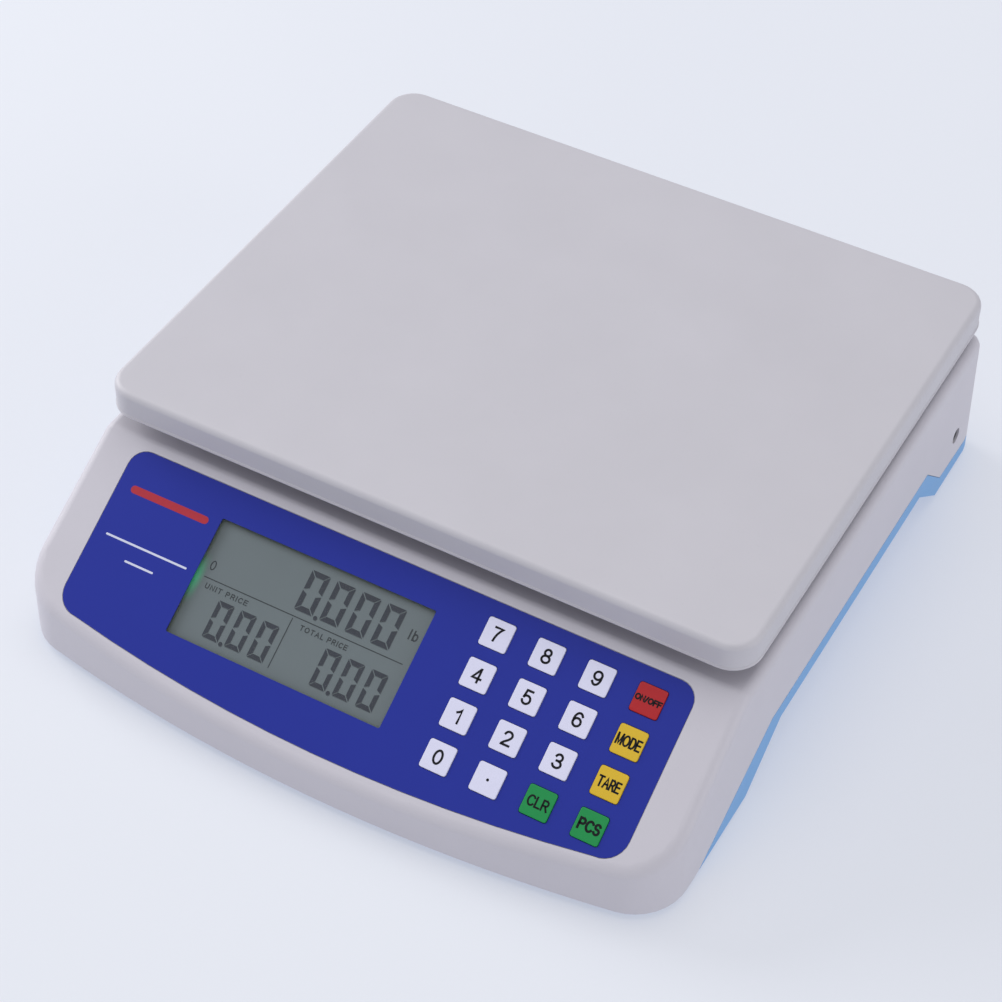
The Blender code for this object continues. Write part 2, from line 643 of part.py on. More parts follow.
def pads():
    z = SPIDER_Z + SPIDER_T - 0.0010 + CLEAR
    top = PLATTER_Z + PLATTER_H - PLATTER_WALL - CLEAR
    for i, (x, y) in enumerate(pad_centres()):
        turned(
            f"platter_pad_{i + 1}",
            [(0, SPIDER_Z - 0.0006), (0.0035, SPIDER_Z - 0.0006), (0.0035, z), (PAD_R, z), (PAD_R, top - 0.0008), (PAD_R - 0.0008, top), (0.0045, top), (0.0045, top - 0.0012), (0, top - 0.0012)],
            (DARK, 0.8), at=(x, y, 0), steps=20,
        )


def hex_bolt(name, x, y, head_low, head_h, tip, r=BOLT_R, head_r=0.0053, look=(STEEL, 0.3, 1.0)):
    """A hexagon-headed bolt on a vertical axis, its head on the other side from its tip."""
    up = tip > head_low
    head = [(head_r * math.cos(math.radians(60 * i)), head_r * math.sin(math.radians(60 * i))) for i in range(6)]
    body = extruded(name, [(x + a, y + b) for a, b in head], "Z", head_low, head_low + head_h, look=look)
    lo, hi = (head_low + head_h - 0.0008, tip) if up else (tip, head_low + 0.0008)
    shank = [(0, lo), (r, lo), (r, hi - 0.0006), (r - 0.0006, hi), (0, hi)] if up else [(0, lo), (r - 0.0006, lo), (r, lo + 0.0006), (r, hi), (0, hi)]
    return add(body, turned("c", shank, at=(x, y, 0), steps=16))


def screw(name, x, y, head_low, tip, r, head_r, head_h, look=((0.35, 0.36, 0.38), 0.35, 1.0), at=None, turn=None, slot=True):
    """A pan-head screw with a cross recess, pointing up (or along its own frame), head at the bottom."""
    base = at if at is not None else (x, y, 0)
    prof = [(0, head_low), (head_r * 0.82, head_low), (head_r, head_low + head_h * 0.45), (head_r, head_low + head_h), (r, head_low + head_h), (r, tip - 0.0012), (r * 0.4, tip), (0, tip)]
    body = turned(name, prof, look, at=base, steps=12, turn=turn)
    if slot:
        frame = turn if turn is not None else Matrix.Identity(3)
        for k in (0, 1):
            w, l = (0.0007, head_r * 0.62) if k else (head_r * 0.62, 0.0007)
            pts = [(-w, -l), (w, -l), (w, l), (-w, l)]
            rings = [[Vector(base) + frame @ Vector((a, b, h)) for a, b in pts] for h in (head_low - 0.002, head_low + head_h * 0.55)]
            cut(body, loft("c", rings))
    return body


def socket_screw_down(name, x, y, seat, tip, r, head_r, head_h, look=((0.35, 0.36, 0.38), 0.35, 1.0)):
    """The same screw pointing down, its head above the seat."""
    prof = [(0, tip), (r * 0.4, tip), (r, tip + 0.0012), (r, seat), (head_r, seat), (head_r, seat + head_h * 0.55), (head_r * 0.82, seat + head_h), (0, seat + head_h)]
    body = turned(name, prof, look, at=(x, y, 0), steps=12)
    for k in (0, 1):
        w, l = (0.0007, head_r * 0.62) if k else (head_r * 0.62, 0.0007)
        cut(body, box("c", (x - w, y - l, seat + head_h * 0.45), (x + w, y + l, seat + head_h + 0.002)))
    return body


# ==== load cell and its mounting ==========================================================
def load_cell():
    z0, z1 = CELL_Z, CELL_Z + CELL_H
    body = box("load_cell", (-CELL_L / 2, CELL_Y - CELL_W / 2, z0), (CELL_L / 2, CELL_Y + CELL_W / 2, z1), (( 0.72, 0.73, 0.75), 0.35, 1.0))
    zm = (z0 + z1) / 2
    for x in (-0.0125, 0.0125):
        cut(body, rod("c", 0.0088, CELL_Y - 0.03, CELL_Y + 0.03, at=(x, 0, zm), axis="Y", steps=32))
    cut(body, box("c", (-0.013, CELL_Y - 0.03, zm - 0.0045), (0.013, CELL_Y + 0.03, zm + 0.0045)))
    for x, y in FIX_BOLTS:
        cut(body, rod("c", BOLT_R + HOLE_CLEAR, z0 - 0.01, z1 - 0.004, at=(x, y, 0), steps=16))
    for x, y in FREE_BOLTS:
        cut(body, rod("c", BOLT_R + HOLE_CLEAR, z0 + 0.004, z1 + 0.01, at=(x, y, 0), steps=16))
    return body


def mounting():
    z0, z1 = PLATE_Z, PLATE_Z + PLATE_T
    plate = extruded("mounting_plate", round_rect(-0.092, 0.088, CELL_Y - 0.028, CELL_Y + 0.028, 0.004, 3), "Z", z0, z1, look=((0.42, 0.43, 0.45), 0.45, 0.9))
    spacer = box("cell_spacer", (-CELL_L / 2 + 0.0006, CELL_Y - CELL_W / 2 + 0.0006, z1 + CLEAR), (-CELL_L / 2 + 0.0306, CELL_Y + CELL_W / 2 - 0.0006, CELL_Z - CLEAR), ((0.60, 0.61, 0.63), 0.4, 1.0))
    for x, y in FIX_BOLTS:
        cut(plate, rod("c", BOLT_R + HOLE_CLEAR, 0, 0.1, at=(x, y, 0), steps=16))
        cut(spacer, rod("c", BOLT_R + HOLE_CLEAR, 0, 0.1, at=(x, y, 0), steps=16))
    for x, y in PLATE_SCREWS:
        cut(plate, rod("c", 0.0015 + HOLE_CLEAR, 0, 0.1, at=(x, y, 0), steps=12))
    stop = (HUB_X, CELL_Y)
    cut(plate, rod("c", BOLT_R + HOLE_CLEAR, 0, 0.1, at=(*stop, 0), steps=16))
    for i, (x, y) in enumerate(FIX_BOLTS):
        hex_bolt(f"cell_fix_bolt_{i + 1}", x, y, z0 - CLEAR - 0.004, 0.004, CELL_Z + CELL_H * 0.62)
    for i, (x, y) in enumerate(FREE_BOLTS):
        hex_bolt(f"cell_free_bolt_{i + 1}", x, y, SPIDER_Z + SPIDER_T + CLEAR, 0.004, CELL_Z + CELL_H * 0.42)
    # the stop under the free end: head above the plate, 0.6 mm below the cell
    head = [(stop[0] + 0.0055 * math.cos(math.radians(60 * i)), stop[1] + 0.0055 * math.sin(math.radians(60 * i))) for i in range(6)]
    body = extruded("overload_stop", head, "Z", z1 + CLEAR, CELL_Z - 0.0006, look=(STEEL, 0.3, 1.0))
    add(body, rod("c", BOLT_R, z0 - 0.002, z1 + CLEAR + 0.0008, at=(*stop, 0), steps=16))
    for i, (x, y) in enumerate(PLATE_SCREWS):
        socket_screw_down(f"plate_screw_{i + 1}", x, y, z1 + CLEAR, FLOOR_IN + 0.0008, 0.0015, 0.0029, 0.0020)
    return plate


# ==== control panel ==========================================================================
LENS_N = -FILM_T - EPS - 0.0001
LENS_T = 0.0014
GLASS_T = 0.0022
LIGHT_T = 0.0035


def control_panel():
    u0, u1, s0, s1 = WINDOW
    film = panel_prism("panel_overlay", film_outline(), -FILM_T, 0.0, look=((0.025, 0.035, 0.30), 0.35))
    cut(film, panel_prism("c", round_rect(u0, u1, s0, s1, 0.0008, 3), -0.01, 0.01))
    for u, s in key_centres():
        cut(film, panel_prism("c", square(u, s, KEY_SIDE + 0.0004, 0.0011), -0.01, 0.01))
    edge = 0.0017
    panel_prism("display_lens", round_rect(u0 - edge, u1 + edge, s0 - edge, s1 + edge, 0.0012, 3), LENS_N - LENS_T, LENS_N, look=((0.80, 0.85, 0.83), 0.05))
    n = LENS_N - LENS_T - EPS
    panel_prism("display_glass", [(u0 - 0.0012, s0 - 0.0012), (u1 + 0.0012, s0 - 0.0012), (u1 + 0.0012, s1 + 0.0012), (u0 - 0.0012, s1 + 0.0012)], n - GLASS_T, n, look=((0.19, 0.23, 0.21), 0.25))
    n -= GLASS_T + EPS
    panel_prism("display_backlight", [(u0 - 0.0012, s0 - 0.0012), (u1 + 0.0012, s0 - 0.0012), (u1 + 0.0012, s1 + 0.0012), (u0 - 0.0012, s1 + 0.0012)], n - LIGHT_T, n, look=((0.75, 0.80, 0.75), 0.5))
    # the board with its screw holes
    b0, b1, t0, t1 = BOARD
    board = panel_prism("main_board", round_rect(b0, b1, t0, t1, 0.002, 3), BOARD_N, BOARD_N + BOARD_T, look=((0.02, 0.20, 0.08), 0.4))
    for u, s in BOARD_SCREWS:
        cut(board, rod("c", 0.0013 + HOLE_CLEAR, BOARD_N - 0.01, BOARD_N + 0.02, at=on_panel(u, s), steps=10, turn=PANEL_TURN))
    # the board's tall parts, on its underside
    for u, s, w, l, h in ((-0.03, 0.030, 0.022, 0.022, 0.0028), (0.02, 0.055, 0.016, 0.010, 0.0022), (0.075, 0.026, 0.010, 0.018, 0.0045), (-0.066, 0.052, 0.012, 0.008, 0.006)):
        add(board, panel_prism("c", [(u - w / 2, s - l / 2), (u + w / 2, s - l / 2), (u + w / 2, s + l / 2), (u - w / 2, s + l / 2)], BOARD_N - h, BOARD_N + 0.0004))
    # the silicone mat: a sheet with a raised pip under each key
    m = BOARD_N + BOARD_T + EPS
    k0, k1 = KEY_FIRST
    mat = panel_prism("switch_mat", round_rect(k0 - 0.0095, k0 + 3 * KEY_PITCH_U + 0.0055, k1 - 0.0078, k1 + 3 * KEY_PITCH_S + 0.0078, 0.001, 2), m, m + 0.0008, look=((0.55, 0.55, 0.57), 0.7))
    for u, s in key_centres():
        add(mat, rod("c", 0.0030, m + 0.0004, KEY_LOW - KEY_TRAVEL - 0.0003, at=on_panel(u, s), steps=10, turn=PANEL_TURN))
    for i, (u, s) in enumerate(BOARD_SCREWS):
        screw(f"board_screw_{i + 1}", 0, 0, BOARD_N - CLEAR - 0.0016, BOARD_N + 0.0064, 0.0013, 0.0027, 0.0016, at=on_panel(u, s), turn=PANEL_TURN)


KEY_LOW = -0.0076
KEY_NAMES = ["7", "8", "9", "power", "4", "5", "6", "mode", "1", "2", "3", "tare", "0", "point", "clear", "count"]
WHITE, RED, YELLOW, GREEN = (0.80, 0.83, 0.90), (0.45, 0.03, 0.05), (0.80, 0.50, 0.04), (0.02, 0.30, 0.07)
KEY_COLOURS = [WHITE, WHITE, WHITE, RED, WHITE, WHITE, WHITE, YELLOW, WHITE, WHITE, WHITE, YELLOW, WHITE, WHITE, GREEN, GREEN]


def keys():
    for (u, s), name, colour in zip(key_centres(), KEY_NAMES, KEY_COLOURS):
        side = KEY_SIDE
        levels = [
            (KEY_LOW, 0.0060, 0.0004), (KEY_LOW + 0.0030, 0.0060, 0.0004), (KEY_LOW + 0.0030, side + 0.0026, 0.0012), (-WALL - FILM_T - CLEAR - 0.0002, side + 0.0026, 0.0012),
            (-WALL - FILM_T - CLEAR - 0.0002, side, 0.0010), (KEY_PROUD - 0.0003, side, 0.0010), (KEY_PROUD - 0.00009, side - 0.0002, 0.0009), (KEY_PROUD, side - 0.0006, 0.0008),
        ]
        rings = [[on_panel(a, b, n) for a, b in square(u, s, w, r)] for n, w, r in levels]
        loft(f"key_{name}", rings, (colour, 0.35), origin=tuple(on_panel(u, s, 0)))


# ==== battery, jack, feet, screws, cable ========================================================
def battery_and_cover():
    x, y, l, w, h = BATTERY
    z = FLOOR_IN + CLEAR
    body = extruded("battery", round_rect(x, x + l, y, y + w, 0.0015, 2), "Z", z, z + h, look=((0.05, 0.05, 0.06), 0.5))
    for dx in (0.012, 0.028):
        add(body, box("c", (x + dx, y + 0.019, z + h - 0.001), (x + dx + 0.005, y + 0.0198, z + h + 0.006)))
    x0, x1, y0, y1 = battery_well()
    cover = extruded("battery_cover", round_rect(x0 - 0.0037, x1 + 0.0117, y0 - 0.0047, y1 + 0.0047, 0.0027, 3), "Z", CASING_Z - 0.0002, CASING_Z + 0.0010, look=(BLUE, 0.45))
    sx, sy = x1 + 0.0065, (y0 + y1) / 2
    cut(cover, rod("c", 0.0013 + HOLE_CLEAR, -0.01, 0.02, at=(sx, sy, 0), steps=12))
    screw("battery_cover_screw", sx, sy, CASING_Z - 0.0018, CASING_Z + 0.0070, 0.0013, 0.0026, 0.0013)


def jack():
    x = HALF_W - DRAFT * (JACK_Z - CASING_Z) - WALL - CLEAR
    body = box("power_jack", (x - 0.0135, JACK_Y - 0.0047, JACK_Z - 0.0055), (x, JACK_Y + 0.0047, JACK_Z + 0.0055), (DARK, 0.4))
    add(body, rod("c", 0.00355, x - 0.001, x + 0.0018, at=(0, JACK_Y, JACK_Z), axis="X", steps=28))
    cut(body, rod("c", 0.00305, x - 0.0095, x + 0.01, at=(0, JACK_Y, JACK_Z), axis="X", steps=28))
    add(body, turned("c", [(0, x - 0.0105), (0.0010, x - 0.0105), (0.0010, x - 0.0042), (0.0006, x - 0.0037), (0, x - 0.0037)], at=(0, JACK_Y, JACK_Z), axis="X", steps=12))
    return body


def feet():
    for i, (x, y) in enumerate(FEET):
        turned(
            f"foot_{i + 1}",
            [(0, 0.0), (FOOT_R - 0.0022, 0.0), (FOOT_R - 0.0010, 0.0010), (FOOT_R, 0.0018), (FOOT_R, FOOT_TOP - 0.0006), (FOOT_R - 0.0006, FOOT_TOP), (BOLT_R, FOOT_TOP), (BOLT_R, POCKET_TOP + 0.0050), (BOLT_R - 0.0006, POCKET_TOP + 0.0056), (0, POCKET_TOP + 0.0056)],
            (DARK, 0.75), at=(x, y, 0), steps=24,
        )


def casing_screws():
    for i, (x, y) in enumerate(CASING_SCREWS):
        screw(f"casing_screw_{i + 1}", x, y, CASING_Z + 0.0036 - CLEAR - 0.0018, 0.0235, 0.0017, 0.0032, 0.0018)


def cable():
    """The load cell's lead, from its fixed end forward to the board: one tube along a smooth line."""
    b = on_panel(-0.066, 0.052, BOARD_N - 0.0066)
    way = [
        Vector((-CELL_L / 2 - 0.0004, CELL_Y, CELL_Z + 0.011)), Vector((-CELL_L / 2 - 0.010, CELL_Y - 0.002, CELL_Z + 0.010)),
        Vector((-CELL_L / 2 - 0.018, CELL_Y - 0.020, CELL_Z + 0.002)), Vector((-CELL_L / 2 - 0.018, CELL_Y - 0.055, 0.0185)),
        Vector((-CELL_L / 2 - 0.014, CELL_Y - 0.095, 0.0175)), Vector((b.x - 0.001, b.y + 0.030, b.z - 0.014)), Vector((b.x, b.y + 0.0062, b.z - 0.0098)), b,
    ]
    pts = []
    n = len(way)
    for i in range(n - 1):
        p0, p1, p2, p3 = way[max(i - 1, 0)], way[i], way[i + 1], way[min(i + 2, n - 1)]
        for k in range(4):
            t = k / 4
            pts.append(0.5 * (2 * p1 + (p2 - p0) * t + (2 * p0 - 5 * p1 + 4 * p2 - p3) * t**2 + (3 * p1 - p0 - 3 * p2 + p3) * t**3))
    pts.append(way[-1])
    rings, side = [], Vector((0, 0, 1))
    for i, p in enumerate(pts):
        d = (pts[min(i + 1, len(pts) - 1)] - pts[max(i - 1, 0)]).normalized()
        a = (side - d * side.dot(d)).normalized()
        side = a
        b2 = d.cross(a)
        rings.append([p + (a * math.cos(t) + b2 * math.sin(t)) * 0.0019 for t in (2 * math.pi * j / 8 for j in range(8))])
    return loft("load_cell_cable", rings, ((0.25, 0.25, 0.27), 0.6))


upper_casing()
lower_casing()
platter()
spider()
pads()
load_cell()
mounting()
control_panel()
keys()
battery_and_cover()
jack()
feet()
casing_screws()
cable()
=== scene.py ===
import math

import bmesh
import bpy
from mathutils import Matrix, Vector


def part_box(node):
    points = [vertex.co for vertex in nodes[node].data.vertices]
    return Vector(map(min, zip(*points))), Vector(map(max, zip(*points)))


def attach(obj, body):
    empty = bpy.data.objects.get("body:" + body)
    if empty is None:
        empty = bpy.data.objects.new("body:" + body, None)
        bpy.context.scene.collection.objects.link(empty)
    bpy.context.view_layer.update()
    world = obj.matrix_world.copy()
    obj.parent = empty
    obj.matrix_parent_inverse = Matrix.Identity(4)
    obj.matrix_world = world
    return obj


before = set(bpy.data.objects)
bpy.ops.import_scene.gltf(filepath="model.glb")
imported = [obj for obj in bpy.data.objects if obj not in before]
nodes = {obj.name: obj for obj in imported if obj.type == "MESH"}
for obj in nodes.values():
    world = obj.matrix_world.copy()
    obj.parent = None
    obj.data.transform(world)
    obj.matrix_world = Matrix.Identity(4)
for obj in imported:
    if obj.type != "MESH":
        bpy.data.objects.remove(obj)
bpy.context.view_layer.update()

# ---- lower casing ------------------------------------------------------------------------
# The bottom half of the case, moulded in light blue ABS with a fine spark-eroded grain. Its
# side walls show as a strip under the grey half, and six screws from below hold the two.


class Wire:
    """A shader node's output. Sums written with it add their own Math nodes."""

    def __init__(self, tree, socket):
        self.tree, self.socket = tree, socket

    @staticmethod
    def node(tree, kind, settings=(), inputs=(), output=0):
        """Any node: its settings go first, then a value or a wire for each socket."""
        made = tree.nodes.new(kind)
        for name, value in dict(settings).items():
            setattr(made, name, value)
        for name, value in dict(inputs).items():
            if isinstance(value, Wire):
                tree.links.new(value.socket, made.inputs[name])
            else:
                made.inputs[name].default_value = value
        return Wire(tree, made.outputs[output]) if len(made.outputs) else None

    def math(self, operation, *values):
        return Wire.node(self.tree, "ShaderNodeMath", {"operation": operation}, dict(enumerate(values)))

    def __add__(self, other):
        return self.math("ADD", self, other)

    def __radd__(self, other):
        return self.math("ADD", other, self)

    def __sub__(self, other):
        return self.math("SUBTRACT", self, other)

    def __rsub__(self, other):
        return self.math("SUBTRACT", other, self)

    def __mul__(self, other):
        return self.math("MULTIPLY", self, other)

    def __rmul__(self, other):
        return self.math("MULTIPLY", other, self)

    def __gt__(self, other):
        return self.math("GREATER_THAN", self, other)

    def __lt__(self, other):
        return self.math("LESS_THAN", self, other)


def start_finish(name):
    """A new material's tree, and the place on the piece in metres as its first wire."""
    material = bpy.data.materials.new(name)
    material.use_nodes = True
    material.node_tree.nodes.clear()
    place = Wire.node(material.node_tree, "ShaderNodeTexCoord", output="Object")
    return material, material.node_tree, place


def end_finish(tree, height=None, depth=0.00001, **sockets):
    """The Principled shader and the surface output, with height as a bump of that depth."""
    inputs = {name.replace("_", " "): value for name, value in sockets.items()}
    if height is not None:
        inputs["Normal"] = Wire.node(
            tree, "ShaderNodeBump", inputs={"Strength": 1.0, "Distance": depth, "Height": height}
        )
    shader = Wire.node(tree, "ShaderNodeBsdfPrincipled", inputs=inputs)
    Wire.node(tree, "ShaderNodeOutputMaterial", inputs={"Surface": shader})


def noise(tree, place, size, detail=2.0, roughness=0.5):
    """Cloudy noise whose blobs are about that many metres across, from 0 to 1."""
    return Wire.node(
        tree, "ShaderNodeTexNoise",
        inputs={"Vector": place, "Scale": 1 / size, "Detail": detail, "Roughness": roughness},
    )


def mixed(tree, amount, first, second):
    """One colour turning into another as amount goes from 0 to 1."""
    first, second = [(*c, 1) if isinstance(c, tuple) and len(c) == 3 else c for c in (first, second)]
    return Wire.node(tree, "ShaderNodeMix", {"data_type": "RGBA"}, {0: amount, 6: first, 7: second}, 2)


def stretched(tree, value, low, high, start=0.0, stop=1.0):
    """A value taken from one range to another, held at the ends."""
    return Wire.node(
        tree, "ShaderNodeMapRange", {"interpolation_type": "SMOOTHSTEP"},
        {"Value": value, "From Min": low, "From Max": high, "To Min": start, "To Max": stop},
    )


def moulded(name, colour, roughness=0.46, grain=0.0005, depth=0.000012):
    """Moulded ABS: a fine matt grain, flow clouds in the tone, and an uneven sheen."""
    material, tree, place = start_finish(name)
    clouds = noise(tree, place, 0.055, 3.0, 0.6)
    specks = noise(tree, place, 0.0012, 2.0, 0.7)
    tone = mixed(tree, clouds, tuple(c * 0.955 for c in colour), tuple(min(c * 1.045, 1) for c in colour))
    tone = mixed(tree, stretched(tree, specks, 0.62, 0.80) * 0.10, tone, tuple(c * 0.55 for c in colour))
    sheen = noise(tree, place, 0.018, 2.0, 0.5) * 0.08 + (roughness - 0.04)
    pits = noise(tree, place, grain, 2.0, 0.6) + noise(tree, place, 0.006, 1.0, 0.5) * 0.8
    end_finish(tree, pits, depth, Base_Color=tone, Roughness=sheen, IOR=1.53)
    return material


def shade(node, angle=32):
    """Joins the split corners and rounds the shading across small angles; the points stay."""
    piece = nodes[node]
    custom = piece.data.attributes.get("custom_normal")
    if custom:
        piece.data.attributes.remove(custom)
    piece.data.shade_smooth()
    piece.modifiers.new("join corners", "WELD").merge_threshold = 2e-6
    split = piece.modifiers.new("hard edges", "EDGE_SPLIT")
    split.split_angle, split.use_edge_sharp = math.radians(angle), False
    piece.modifiers.new("flats stay flat", "WEIGHTED_NORMAL").keep_sharp = True
    return piece


def dress(material, *names, angle=32):
    """Gives CAD pieces a finish in place of their plain one."""
    for name in names:
        shade(name, angle).data.materials[0] = material


sky_blue = (0.153, 0.390, 0.740)
dress(moulded("blue ABS", sky_blue, 0.42), "lower_casing")

# ---- battery cover -----------------------------------------------------------------------
# A flat lid in the same blue plastic let into the bottom, with moulded finger ridges at its
# free end, held by one small countersunk screw.
material, tree, place = start_finish("blue ABS lid")
across = Wire.node(tree, "ShaderNodeSeparateXYZ", inputs={0: place}, output="X")
RIDGE_PITCH = 0.0024
ridges = Wire.node(tree, "ShaderNodeMath", {"operation": "SINE"}, {0: across * (2 * math.pi / RIDGE_PITCH)})
lid_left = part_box("battery_cover")[0].x
band = (across > lid_left + 0.006) * (across < lid_left + 0.020)
height = ridges * band * 20.0 + noise(tree, place, 0.0005, 2.0, 0.6)
tone = mixed(tree, noise(tree, place, 0.03, 3.0, 0.6), tuple(c * 0.94 for c in sky_blue), sky_blue)
end_finish(tree, height, 0.000012, Base_Color=tone, Roughness=noise(tree, place, 0.015) * 0.1 + 0.38)
dress(material, "battery_cover")

# ---- feet --------------------------------------------------------------------------------
# Four black rubber feet on threaded studs, so that the scale can be levelled. The soles have
# fine rings that grip the table, and pick up a little pale dust.
FOOT_SPOTS = [sum(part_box(f"foot_{i}"), Vector()) / 2 for i in range(1, 5)]
STUD_FOOT, SOLE_TOP, RING_PITCH = 0.0074, 0.0004, 0.0015
for i, spot in enumerate(FOOT_SPOTS, 1):
    material, tree, place = start_finish(f"foot rubber {i}")
    centred = Wire.node(
        tree, "ShaderNodeVectorMath", {"operation": "SUBTRACT"}, {0: place, 1: (spot.x, spot.y, 0)}
    )
    flat = Wire.node(tree, "ShaderNodeVectorMath", {"operation": "MULTIPLY"}, {0: centred, 1: (1, 1, 0)})
    radius = Wire.node(tree, "ShaderNodeVectorMath", {"operation": "LENGTH"}, {0: flat}, "Value")
    level = Wire.node(tree, "ShaderNodeSeparateXYZ", inputs={0: place}, output="Z")
    rings = Wire.node(tree, "ShaderNodeMath", {"operation": "SINE"}, {0: radius * (2 * math.pi / RING_PITCH)})
    stud = level > STUD_FOOT
    dust = stretched(tree, noise(tree, place, 0.003, 4.0, 0.7), 0.45, 0.75) * 0.35
    rubber = mixed(tree, dust, (0.022, 0.022, 0.024), (0.11, 0.108, 0.10))
    end_finish(
        tree, rings * (level < SOLE_TOP) * 8.0 + noise(tree, place, 0.0006, 3.0, 0.7), 0.00002,
        Base_Color=mixed(tree, stud, rubber, (0.50, 0.51, 0.53)),
        Metallic=stud * 1.0, Roughness=stretched(tree, stud, 0.0, 1.0, 0.82, 0.35),
    )
    dress(material, f"foot_{i}")

# ---- load cell and its mounting ----------------------------------------------------------
# A machined aluminium bar bolted to a zinc-plated plate at one end and carrying the spider
# at the other. Milling lines run along it, and pale sealant covers its strain gauges.


def metal(name, colour, roughness, line=None, streak=0.0004, depth=0.000008, patches=0.10):
    """Bare or plated metal; line is the direction of its brushing or milling, if it has one."""
    material, tree, place = start_finish(name)
    if line is None:
        marks = noise(tree, place, streak, 3.0, 0.7)
    else:
        scale = [1.0, 1.0, 1.0]
        scale["xyz".index(line)] = 0.02
        drawn = Wire.node(tree, "ShaderNodeVectorMath", {"operation": "MULTIPLY"}, {0: place, 1: scale})
        marks = noise(tree, drawn, streak, 3.0, 0.7)
    stain = noise(tree, place, 0.012, 4.0, 0.6)
    tone = mixed(tree, stain, tuple(c * (1 - patches) for c in colour), colour)
    tone = mixed(tree, marks * 0.35, tone, tuple(c * 0.78 for c in colour))
    end_finish(
        tree, marks, depth, Base_Color=tone, Metallic=1.0,
        Roughness=marks * 0.18 + stain * 0.10 + (roughness - 0.14),
    )
    return material


low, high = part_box("load_cell")
middle = (low + high) / 2
material, tree, place = start_finish("load cell aluminium")
across, level = [
    Wire.node(tree, "ShaderNodeSeparateXYZ", inputs={0: place}, output=axis) for axis in "XZ"
]
off_middle = Wire.node(tree, "ShaderNodeMath", {"operation": "ABSOLUTE"}, {0: across - middle.x})
skin = (level > high.z - 0.0002) + (level < low.z + 0.0002)
wobble = noise(tree, place, 0.006, 2.0, 0.5) * 0.004
sealant = stretched(tree, off_middle + wobble, 0.0215, 0.0225, 1.0, 0.0) * skin
drawn = Wire.node(tree, "ShaderNodeVectorMath", {"operation": "MULTIPLY"}, {0: place, 1: (1.0, 0.02, 1.0)})
lines = noise(tree, drawn, 0.0004, 3.0, 0.7)
tone = mixed(tree, lines * 0.5, (0.74, 0.75, 0.77), (0.58, 0.59, 0.61))
end_finish(
    tree, lines + sealant * 14.0 * noise(tree, place, 0.004, 2.0, 0.5), 0.00001,
    Base_Color=mixed(tree, sealant, tone, (0.78, 0.77, 0.72)),
    Metallic=1.0 - sealant, Roughness=lines * 0.15 + sealant * 0.2 + 0.24,
)
dress(material, "load_cell")
dress(metal("spacer aluminium", (0.72, 0.73, 0.75), 0.34, "x"), "cell_spacer")
dress(metal("zinc plate", (0.56, 0.57, 0.60), 0.38, "y", 0.0008, patches=0.16), "mounting_plate")
dress(
    metal("plated bolt", (0.62, 0.62, 0.63), 0.33, None, 0.0006, patches=0.2),
    "cell_fix_bolt_1", "cell_fix_bolt_2", "cell_free_bolt_1", "cell_free_bolt_2", "overload_stop",
)
SCREWS = ["battery_cover_screw"] + [f"casing_screw_{i}" for i in range(1, 7)]
SCREWS += [f"plate_screw_{i}" for i in range(1, 4)] + [f"board_screw_{i}" for i in range(1, 5)]
dress(metal("dark zinc screw", (0.36, 0.36, 0.38), 0.36, None, 0.0005, patches=0.3), *SCREWS)

# ---- load cell's lead --------------------------------------------------------------------
# A thin screened cable in soft grey vinyl that runs from the load cell up to the board. Its
# sheath shows the twist of the cores beneath it.
material, tree, place = start_finish("grey vinyl lead")
turned = Wire.node(tree, "ShaderNodeVectorMath", {"operation": "MULTIPLY"}, {0: place, 1: (1.0, 1.0, 1.6)})
twist = Wire.node(
    tree, "ShaderNodeTexWave", {"bands_direction": "DIAGONAL"},
    {"Vector": turned, "Scale": 70.0, "Distortion": 0.6, "Detail": 1.0}, "Fac",
)
sheath = mixed(tree, noise(tree, place, 0.01, 3.0), (0.20, 0.20, 0.215), (0.27, 0.27, 0.285))
end_finish(tree, twist, 0.00006, Base_Color=sheath, Roughness=noise(tree, place, 0.002) * 0.2 + 0.40)
dress(material, "load_cell_cable", angle=60)

# ---- battery -----------------------------------------------------------------------------
# A sealed lead-acid block in a black case, with a lid of slightly lighter plastic and two
# tinned tabs on top.
material, tree, place = start_finish("battery case")
level = Wire.node(tree, "ShaderNodeSeparateXYZ", inputs={0: place}, output="Z")
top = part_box("battery")[1].z - 0.006
tab, lid = level > top + 0.0005, level > top - 0.008
tone = mixed(tree, noise(tree, place, 0.02, 3.0), (0.020, 0.020, 0.023), (0.038, 0.038, 0.042))
tone = mixed(tree, lid, tone, (0.070, 0.072, 0.078))
end_finish(
    tree, noise(tree, place, 0.0007, 3.0, 0.7), 0.00002,
    Base_Color=mixed(tree, tab, tone, (0.62, 0.61, 0.58)),
    Metallic=tab * 1.0, Roughness=noise(tree, place, 0.004) * 0.2 + 0.42,
)
dress(material, "battery")

# ---- main board --------------------------------------------------------------------------
# A fibreglass board in green solder mask behind the panel, its tracks showing through the
# mask, with black chip packages and a tinned connector on its underside.
PANEL_TOP = Vector((0, -0.0847, 0.06665))
SLOPE = math.radians(30.0)
DOWN = Vector((0, -math.cos(SLOPE), -math.sin(SLOPE)))
OUT = Vector((0, -math.sin(SLOPE), math.cos(SLOPE)))


def panel_place(tree, place):
    """Across the panel, down its slope and out of it, as three wires in metres."""
    moved = Wire.node(
        tree, "ShaderNodeVectorMath", {"operation": "SUBTRACT"}, {0: place, 1: tuple(PANEL_TOP)}
    )
    return [
        Wire.node(
            tree, "ShaderNodeVectorMath", {"operation": "DOT_PRODUCT"}, {0: moved, 1: tuple(axis)}, "Value"
        )
        for axis in (Vector((1, 0, 0)), DOWN, OUT)
    ]


